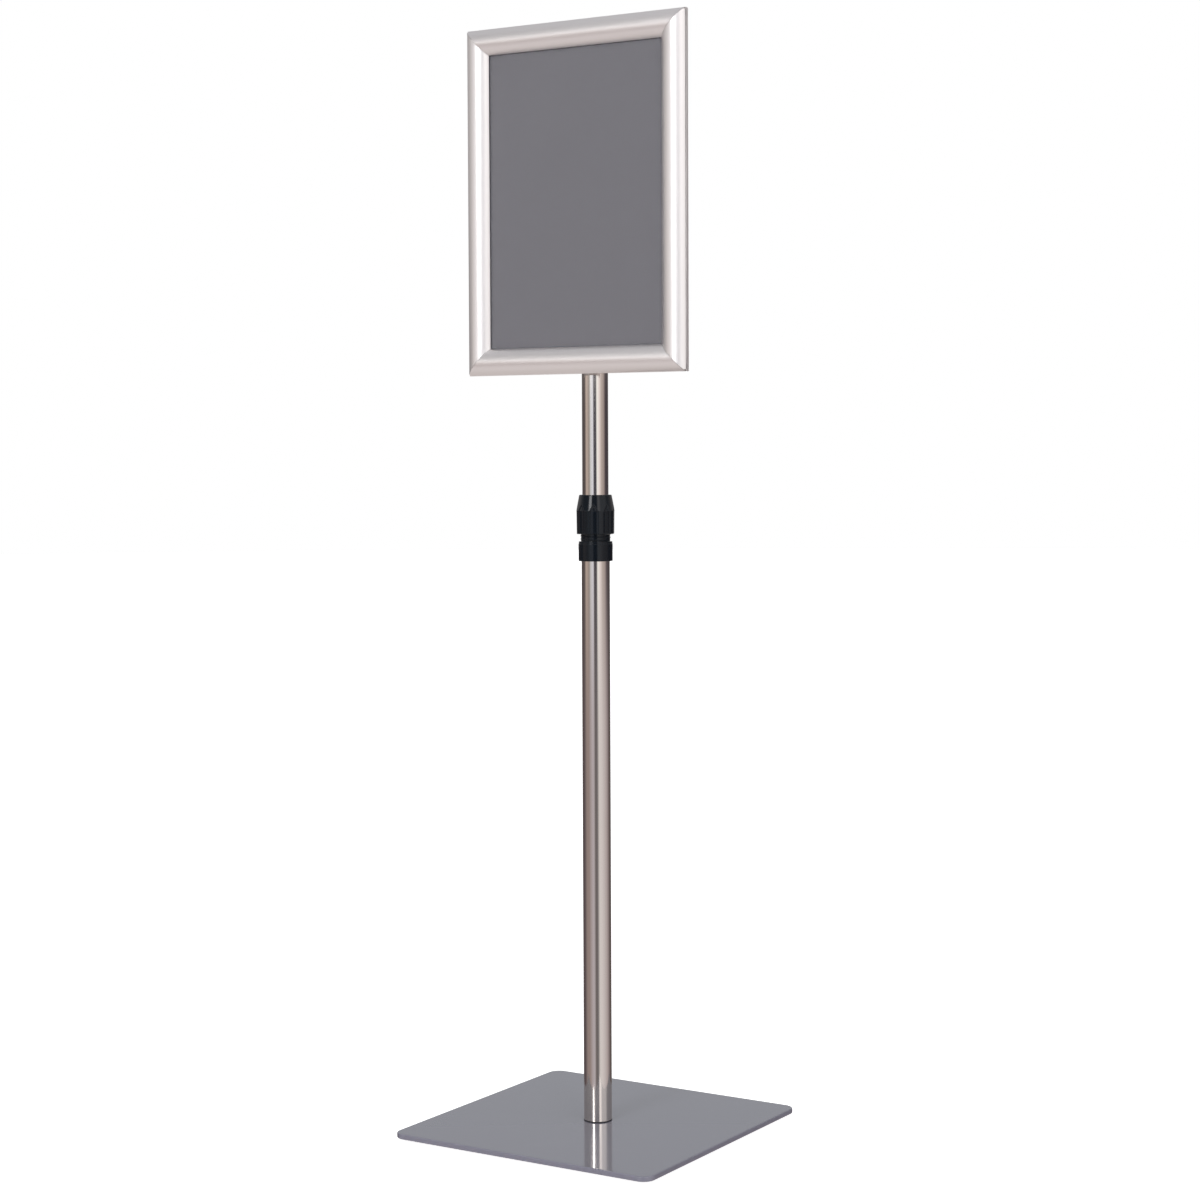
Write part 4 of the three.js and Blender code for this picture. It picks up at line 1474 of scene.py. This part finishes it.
@dataclass
class SnapFrame:
    """The mitred rails, the snap covers over them, and what they hold."""

    shop: Workshop
    profile: float = 25 * MM
    depth: float = 12 * MM
    hinge_inset: float = 1.6 * MM
    hinge_depth: float = 5.2 * MM
    bead: float = 1.3 * MM
    bead_gap: float = 8 * MM
    cup: float = 1.7 * MM
    cup_wall: float = 0.8 * MM
    wall: float = 1.3 * MM
    flange: float = 24 * MM
    floor: float = 1.2 * MM
    rib_near: float = 11.2 * MM
    rib_far: float = 12.2 * MM
    rib_height: float = 4.2 * MM
    screw_hole: float = 1.8 * MM
    cutter_reach: float = 0.04
    lip: float = 4.5 * MM
    mitre_gap: float = 0.15 * MM
    notch: float = 1.75 * MM
    notch_depth: float = 1.4 * MM
    spring_half: float = 10 * MM
    width: float = field(init=False)
    height: float = field(init=False)
    centre: Vector = field(init=False)

    def build(self) -> None:
        """Builds every piece of the frame."""
        low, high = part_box("rail_left")[0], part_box("rail_right")[1]
        foot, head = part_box("rail_bottom")[0].z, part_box("rail_top")[1].z
        self.width, self.height = high.x - low.x, head - foot
        self.centre = Vector((0, high.y, (head + foot) / 2))
        for side in Side:
            self.rail(side)
            self.cover(side)
        self.springs()
        self.kept_nodes()

    def spans(self, side: Side) -> tuple[float, float]:
        """Finds how long a side is, and how far it is from the side across from it.

        Args:
            side: Which side of the frame.

        Returns:
            The side's outer length, and the frame's size across it.
        """
        return (self.height, self.width) if side.upright else (self.width, self.height)

    def swept(self, name: str, section: Outline, side: Side, mitred: bool = True,
              shorter: float = 0.0) -> bpy.types.Object:
        """Sweeps a section along one side of the frame.

        Args:
            name: The piece's name.
            section: (inset from the outer face, depth in front of the back face) points.
            side: Which side of the frame.
            mitred: Whether the ends are cut at 45 degrees.
            shorter: How far short of the corners a square-ended sweep stops.

        Returns:
            The closed piece.
        """
        length, across = self.spans(side)
        work = bmesh.new()
        rows = []
        for end in (-1, 1):
            row = []
            for inset, depth in section:
                reach = length / 2 - (inset + self.mitre_gap if mitred else shorter)
                row.append(work.verts.new((end * reach, -depth, inset - across / 2)))
            rows.append(row)
            work.faces.new(row)
        skin(work, rows)
        work.transform(Matrix.Translation(self.centre) @ side.turn)
        return closed_object(name, work)

    def finish_of(self, side: Side) -> str:
        """Returns the aluminium finish whose grain runs along a side; across the top and bottom it
        carries a painted warm reflection.
        """
        return "satin_upright" if side.upright else "satin_across_painted_reflection"

    def rail(self, side: Side) -> None:
        """Builds one base rail: a flange, a rib, and the cup that the cover's bead turns in.

        Args:
            side: Which side of the frame.
        """
        x, y, floor = self.hinge_inset, self.hinge_depth, self.floor
        edge = rounded_outline([
            (0, 0), (self.flange, 0), (self.flange, floor), (self.rib_far, floor),
            (self.rib_far, self.rib_height), (self.rib_near, self.rib_height),
            (self.rib_near, floor), (x + 1.25 * MM, floor),
        ], 0.3 * MM, 3)
        mouth, bevel = y - self.cup * math.sqrt(0.5), 0.12 * MM
        section = [
            *edge,
            *arc(x, y, self.cup + self.cup_wall, -60, 30, 14),
            *arc(x, y, self.cup, 30, -135, 24),
            (bevel, mouth),
            (0, mouth - bevel),
        ]
        piece = self.swept(f"base_rail_{side.label}", section, side)
        if side.upright:
            screws = [node for node in numbered("strap_screw")
                      if (middle(node).x > 0) is (side is Side.RIGHT)]
            carved(piece, holes_at(screws, self.screw_hole, self.cutter_reach))
        self.shop.hand_over(piece, self.finish_of(side), "frame", f"rail_{side.label}", crease=35)

    def cover(self, side: Side) -> None:
        """Builds one snap cover: an arched shell, a rolled lip, and the bead that it turns on.

        Args:
            side: Which side of the frame.
        """
        width, hinge, bead = self.profile, self.hinge_inset, self.bead
        run = width - (hinge - bead)
        rise = self.depth - self.hinge_depth
        radius = ((run / 2) ** 2 + rise ** 2) / (2 * rise)
        x, y = width - run / 2, self.depth - radius
        spread = math.degrees(math.asin(run / 2 / radius))
        section = [
            *arc(x, y, radius, 90 + spread, 90 - spread, 56),
            (width, self.lip + 0.35 * MM), (width - 0.1 * MM, self.lip + 0.08 * MM),
            (width - 0.35 * MM, self.lip), (width - 0.9 * MM, self.lip + 0.1 * MM),
            *arc(x, y, radius - self.wall, 94 - spread, 81 + spread, 40),
            (hinge + bead, self.hinge_depth),
        ]
        piece = self.swept(f"snap_cover_{side.label}", section, side)
        cap = self.hinge_depth + 0.2 * MM
        bead_section = [(hinge - bead + 0.1 * MM, cap),
                        *arc(hinge, self.hinge_depth, bead, 180, 360, 20),
                        (hinge + bead - 0.1 * MM, cap)]
        bead_piece = self.swept("bead", bead_section, side, mitred=False, shorter=self.bead_gap)
        carved(piece, [bead_piece], "UNION")
        carved(piece, [self.notches(side)])
        self.shop.hand_over(piece, self.finish_of(side), f"cover_{side.label}_body",
                            f"cover_{side.label}", crease=30)

    def notches(self, side: Side) -> bpy.types.Object:
        """Makes the two blocks that clear a cover's foot at its corners.

        Args:
            side: Which side of the frame.

        Returns:
            The blocks, as one cutter.
        """
        length, across = self.spans(side)
        size = Matrix.Diagonal((2 * self.notch, 2 * self.notch_depth, 2 * self.notch, 1))
        work = bmesh.new()
        for end in (-1, 1):
            place = Matrix.Translation((end * length / 2, -self.hinge_depth, -across / 2))
            bmesh.ops.create_cube(work, size=1.0, matrix=place @ size)
        work.transform(Matrix.Translation(self.centre) @ side.turn)
        return as_object("notches", work)

    def springs(self) -> None:
        """Builds the eight leaf springs as folded strips with rounded bends."""
        strip = rounded_outline([
            (3.5 * MM, 1.5 * MM), (10.8 * MM, 1.5 * MM), (10.8 * MM, 2.2 * MM), (5.9 * MM, 7 * MM),
            (5.5 * MM, 6.6 * MM), (9.9 * MM, 2 * MM), (3.5 * MM, 2 * MM),
        ], 0.4 * MM, 4)
        for side in Side:
            across = self.spans(side)[1]
            work = bmesh.new()
            rows = [[work.verts.new((end * self.spring_half, -depth, inset - across / 2))
                     for inset, depth in strip] for end in (-1, 1)]
            for row in rows:
                work.faces.new(row)
            skin(work, rows)
            work.transform(side.turn)
            pattern = closed_object("leaf", work)
            nodes = numbered(f"leaf_spring_{side.label}", 2)
            along = Vector((0, 0, 1)) if side.upright else Vector((1, 0, 0))
            places = [self.centre + along * (middle(node) - self.centre).dot(along)
                      for node in nodes]
            piece = self.shop.repeated(f"leaf_springs_{side.label}", pattern, places,
                                       "spring_steel")
            self.shop.hand_over(piece, "spring_steel", "frame", *nodes, crease=40)

    def kept_nodes(self) -> None:
        """Dresses the corner keys, the back panel and the clear sheet, which keep their shapes."""
        for node in numbered("corner_key"):
            self.shop.dress_node(node, "zinc_steel")
        self.shop.dress_node("back_panel", "grey_panel")
        self.shop.dress_node("clear_sheet", "clear_sheet")


# ------------------------------------------------------------------ studio
# Panels are (bearing in degrees, colour), and fades (rise of the line of sight, what it fades to).
LEVEL_PANELS = (
    (-180, (0.50, 0.50, 0.50)), (-160, (0.30, 0.28, 0.28)), (-150, (0.10, 0.09, 0.09)),
    (-104, (0.12, 0.10, 0.10)), (-97, (0.20, 0.17, 0.16)), (-88, (0.58, 0.49, 0.43)),
    (-75, (0.60, 0.50, 0.45)), (-62, (0.42, 0.37, 0.34)), (-52, (0.40, 0.37, 0.34)),
    (-44, (0.72, 0.75, 0.77)), (-20, (0.90, 0.93, 1.05)), (-15, (0.30, 0.30, 0.32)),
    (-11, (0.07, 0.07, 0.09)), (7, (0.07, 0.07, 0.09)), (13, (0.85, 0.85, 0.85)),
    (18, (1.15, 1.17, 1.15)), (36, (1.02, 0.93, 0.92)), (56, (0.57, 0.50, 0.47)),
    (78, (0.43, 0.37, 0.35)), (92, (0.20, 0.16, 0.17)), (100, (0.07, 0.06, 0.07)),
    (150, (0.08, 0.07, 0.08)), (160, (0.30, 0.28, 0.28)), (180, (0.50, 0.50, 0.50)),
)
LOW_PANELS = (
    (-180, (0.50, 0.50, 0.50)), (-150, (0.12, 0.10, 0.10)), (-118, (0.12, 0.09, 0.10)),
    (-105, (0.20, 0.17, 0.17)), (-87, (0.35, 0.28, 0.27)), (-65, (0.37, 0.30, 0.28)),
    (-46, (0.49, 0.44, 0.46)), (-28, (0.58, 0.54, 0.58)), (-18, (0.45, 0.42, 0.44)),
    (-11, (0.19, 0.17, 0.17)), (6, (0.20, 0.19, 0.20)), (13, (0.50, 0.48, 0.48)),
    (22, (0.82, 0.80, 0.80)), (41, (0.80, 0.76, 0.77)), (59, (0.70, 0.66, 0.67)),
    (80, (0.59, 0.53, 0.54)), (105, (0.34, 0.29, 0.30)), (120, (0.15, 0.12, 0.12)),
    (150, (0.12, 0.10, 0.10)), (180, (0.50, 0.50, 0.50)),
)
HIGH_PANELS = (
    (-180, (0.42, 0.43, 0.44)), (-158, (0.40, 0.41, 0.42)), (-148, (0.45, 0.43, 0.42)),
    (-125, (0.70, 0.66, 0.64)), (-104, (0.88, 0.84, 0.81)), (-80, (1.48, 1.44, 1.42)),
    (-60, (1.60, 1.58, 1.57)), (-46, (1.10, 1.10, 1.10)), (-42, (4.20, 4.15, 4.20)),
    (-31, (4.20, 4.15, 4.20)), (-27, (1.50, 1.50, 1.50)), (-16, (2.00, 2.00, 2.00)),
    (0, (1.80, 1.80, 1.82)), (10, (1.65, 1.63, 1.65)), (28, (1.35, 1.33, 1.32)),
    (45, (1.30, 1.27, 1.25)), (80, (0.95, 0.90, 0.88)), (104, (0.60, 0.55, 0.54)),
    (148, (0.45, 0.43, 0.42)), (158, (0.40, 0.41, 0.42)), (180, (0.42, 0.43, 0.44)),
)
UPPER_PANELS = (
    (-180, (0.42, 0.43, 0.44)), (-158, (0.40, 0.41, 0.42)), (-148, (0.30, 0.29, 0.29)),
    (-120, (0.25, 0.25, 0.25)), (-56, (0.24, 0.24, 0.24)), (-48, (0.60, 0.58, 0.59)),
    (-24, (0.70, 0.68, 0.69)), (-17, (0.22, 0.22, 0.23)), (8, (0.20, 0.20, 0.21)),
    (15, (2.20, 2.12, 2.08)), (25, (2.20, 2.12, 2.08)), (33, (1.10, 1.08, 1.08)),
    (66, (1.00, 0.98, 0.98)), (84, (0.30, 0.30, 0.30)), (120, (0.25, 0.25, 0.25)),
    (148, (0.30, 0.29, 0.29)), (158, (0.40, 0.41, 0.42)), (180, (0.42, 0.43, 0.44)),
)
RING_FADES = (
    ((-0.02, -0.12), LOW_PANELS), ((0.02, 0.10), HIGH_PANELS), ((0.16, 0.26), UPPER_PANELS),
)
END_FADES = (
    ((0.42, 0.90), (0.56, 0.56, 0.58)), ((-0.27, -0.42), (0.74, 0.69, 0.68)),
    ((-0.55, -0.95), (0.58, 0.53, 0.51)),
)


@dataclass
class Studio:
    """The pale floor, the soft light round the stand, and the camera."""

    azimuth: float = 32.3
    distance: float = 2.345
    height: float = 0.6435
    pitch: float = 2.45
    yaw: float = -0.10
    roll: float = -0.24
    lens: float = 74.5
    shift: float = -0.035
    sensor: float = 36.0
    floor_reach: float = 14.0
    floor_shade: float = 0.85
    floor_roughness: float = 0.8
    floor_glow: float = 0.86
    key_bearing: float = -35.0
    key_rise: float = 24.0
    key_edge: tuple[float, float] = (0.982, 0.992)
    key_light: float = 9.0

    def build(self) -> None:
        """Builds the floor, the light and the camera."""
        self.floor()
        self.light()
        self.camera()

    def floor(self) -> None:
        """Builds the plain pale floor."""
        work = bmesh.new()
        bmesh.ops.create_circle(work, cap_ends=True, radius=self.floor_reach, segments=96)
        floor = as_object("studio_floor", work)
        material = bpy.data.materials.new("pale_floor")
        material.use_nodes = True
        shader = material.node_tree.nodes["Principled BSDF"]
        shader.inputs["Base Color"].default_value = (*(self.floor_shade,) * 3, 1)
        shader.inputs["Roughness"].default_value = self.floor_roughness
        shader.inputs["Specular IOR Level"].default_value = 0.0
        shader.inputs["Emission Color"].default_value = (1, 1, 1, 1)
        wiring = Wiring(material.node_tree)
        direct = wiring.node("ShaderNodeLightPath").outputs["Is Camera Ray"]
        glow = wiring.math("MULTIPLY", direct, self.floor_glow)
        wiring.feed(shader.inputs["Emission Strength"], glow)
        floor.data.materials.append(material)
        floor.visible_glossy = False

    def light(self) -> None:
        """Builds the surrounding light: tall soft panels and darker gaps at fixed bearings."""
        world = bpy.data.worlds.new("soft_studio")
        bpy.context.scene.world = world
        world.use_nodes = True
        world.node_tree.nodes.clear()
        wiring = Wiring(world.node_tree)
        away = wiring.node("ShaderNodeTexCoord").outputs["Generated"]
        bearing = math.radians(self.azimuth)
        right = self.along(wiring, away, (math.cos(bearing), math.sin(bearing), 0))
        front = self.along(wiring, away, (math.sin(bearing), -math.cos(bearing), 0))
        turn = wiring.math("MULTIPLY_ADD", wiring.math("ARCTAN2", right, front), 1 / TAU, 0.5)
        rise = wiring.node("ShaderNodeSeparateXYZ", {0: away}).outputs[2]
        around = self.panels(wiring, turn, LEVEL_PANELS)
        for reach, stops in RING_FADES:
            around = self.faded(wiring, rise, reach, around, self.panels(wiring, turn, stops))
        for reach, colour in END_FADES:
            around = self.faded(wiring, rise, reach, around, colour)
        bright = math.radians(self.azimuth + self.key_bearing)
        tilt = math.radians(self.key_rise)
        level = math.cos(tilt)
        key = (math.sin(bright) * level, -math.cos(bright) * level, math.sin(tilt))
        near = self.along(wiring, away, key)
        around = self.faded(wiring, near, self.key_edge, around, (self.key_light,) * 3)
        soft = wiring.node("ShaderNodeBackground", {"Color": around, "Strength": 1.0})
        plain = wiring.node("ShaderNodeBackground", {"Color": (1, 1, 1, 1), "Strength": 1.0})
        seen = wiring.node("ShaderNodeLightPath").outputs["Is Camera Ray"]
        mixed = wiring.node(
            "ShaderNodeMixShader", {0: seen, 1: soft.outputs[0], 2: plain.outputs[0]}
        )
        wiring.node("ShaderNodeOutputWorld", {"Surface": mixed.outputs[0]})
        bpy.context.scene.view_settings.view_transform = "Standard"

    def along(self, wiring: Wiring, away: bpy.types.NodeSocket,
              direction: Sequence[float]) -> bpy.types.NodeSocket:
        """Measures how far the line of sight runs along a direction.

        Args:
            wiring: The world's wiring.
            away: The line of sight.
            direction: The direction, of length 1.

        Returns:
            The measure's socket, from -1 to 1.
        """
        node = wiring.node(
            "ShaderNodeVectorMath", {0: away, 1: direction}, operation="DOT_PRODUCT"
        )
        return node.outputs["Value"]

    def panels(self, wiring: Wiring, turn: bpy.types.NodeSocket,
               stops: Sequence[tuple[float, Colour]]) -> bpy.types.NodeSocket:
        """Adds a ring of upright light panels.

        Args:
            wiring: The world's wiring.
            turn: The bearing, from 0 to 1.
            stops: (bearing in degrees, colour) pairs.

        Returns:
            The ring's colour socket.
        """
        node = wiring.node("ShaderNodeValToRGB", {0: turn})
        ramp = node.color_ramp
        while len(ramp.elements) < len(stops):
            ramp.elements.new(0.5)
        for element, (angle, colour) in zip(ramp.elements, stops):
            element.position = angle / 360 + 0.5
            element.color = (*colour, 1)
        return node.outputs[0]

    def faded(self, wiring: Wiring, value: bpy.types.NodeSocket, reach: tuple[float, float],
              start: bpy.types.NodeSocket, end: object) -> bpy.types.NodeSocket:
        """Fades from one colour to another as a value runs over a range.

        Args:
            wiring: The world's wiring.
            value: The value.
            reach: Where the fade starts and ends.
            start: The colour before the range.
            end: The colour after it, a socket or a constant.

        Returns:
            The faded colour socket.
        """
        blend = wiring.node(
            "ShaderNodeMapRange",
            {"Value": value, "From Min": reach[0], "From Max": reach[1]},
            interpolation_type="SMOOTHSTEP",
        )
        mix = wiring.node("ShaderNodeMix", {0: blend.outputs["Result"]}, data_type="RGBA")
        wiring.feed(mix.inputs[6], start)
        wiring.feed(mix.inputs[7], end if isinstance(end, bpy.types.NodeSocket) else (*end, 1))
        return mix.outputs[2]

    def camera(self) -> None:
        """Builds the camera, a little right of the sign's face and level with its lower half."""
        data = bpy.data.cameras.new("view_camera")
        data.lens = self.lens
        data.sensor_width = self.sensor
        data.shift_y = self.shift
        camera = bpy.data.objects.new("view_camera", data)
        bpy.context.scene.collection.objects.link(camera)
        bearing = math.radians(self.azimuth)
        camera.location = (math.sin(bearing) * self.distance,
                           -math.cos(bearing) * self.distance, self.height)
        heading = bearing + math.radians(self.yaw)
        pitch, roll = math.radians(self.pitch), math.radians(self.roll)
        forward = Vector((-math.sin(heading) * math.cos(pitch),
                          math.cos(heading) * math.cos(pitch), -math.sin(pitch)))
        level = Vector((math.cos(heading), math.sin(heading), 0))
        upright = level.cross(forward)
        right = level * math.cos(roll) + upright * math.sin(roll)
        up = upright * math.cos(roll) - level * math.sin(roll)
        camera.rotation_euler = Matrix((right, up, -forward)).transposed().to_euler()
        bpy.context.scene.camera = camera


def main() -> None:
    """Builds the studio and the stand."""
    logging.basicConfig(level=logging.INFO, format="%(name)s: %(message)s")
    Studio().build()
    shop = Workshop()
    for kind in (Base, TwistLock, Mast, Head, Carrier, SnapFrame):
        LOG.info("building %s", kind.__name__)
        kind(shop).build()


if __name__ == "__main__":
    main()
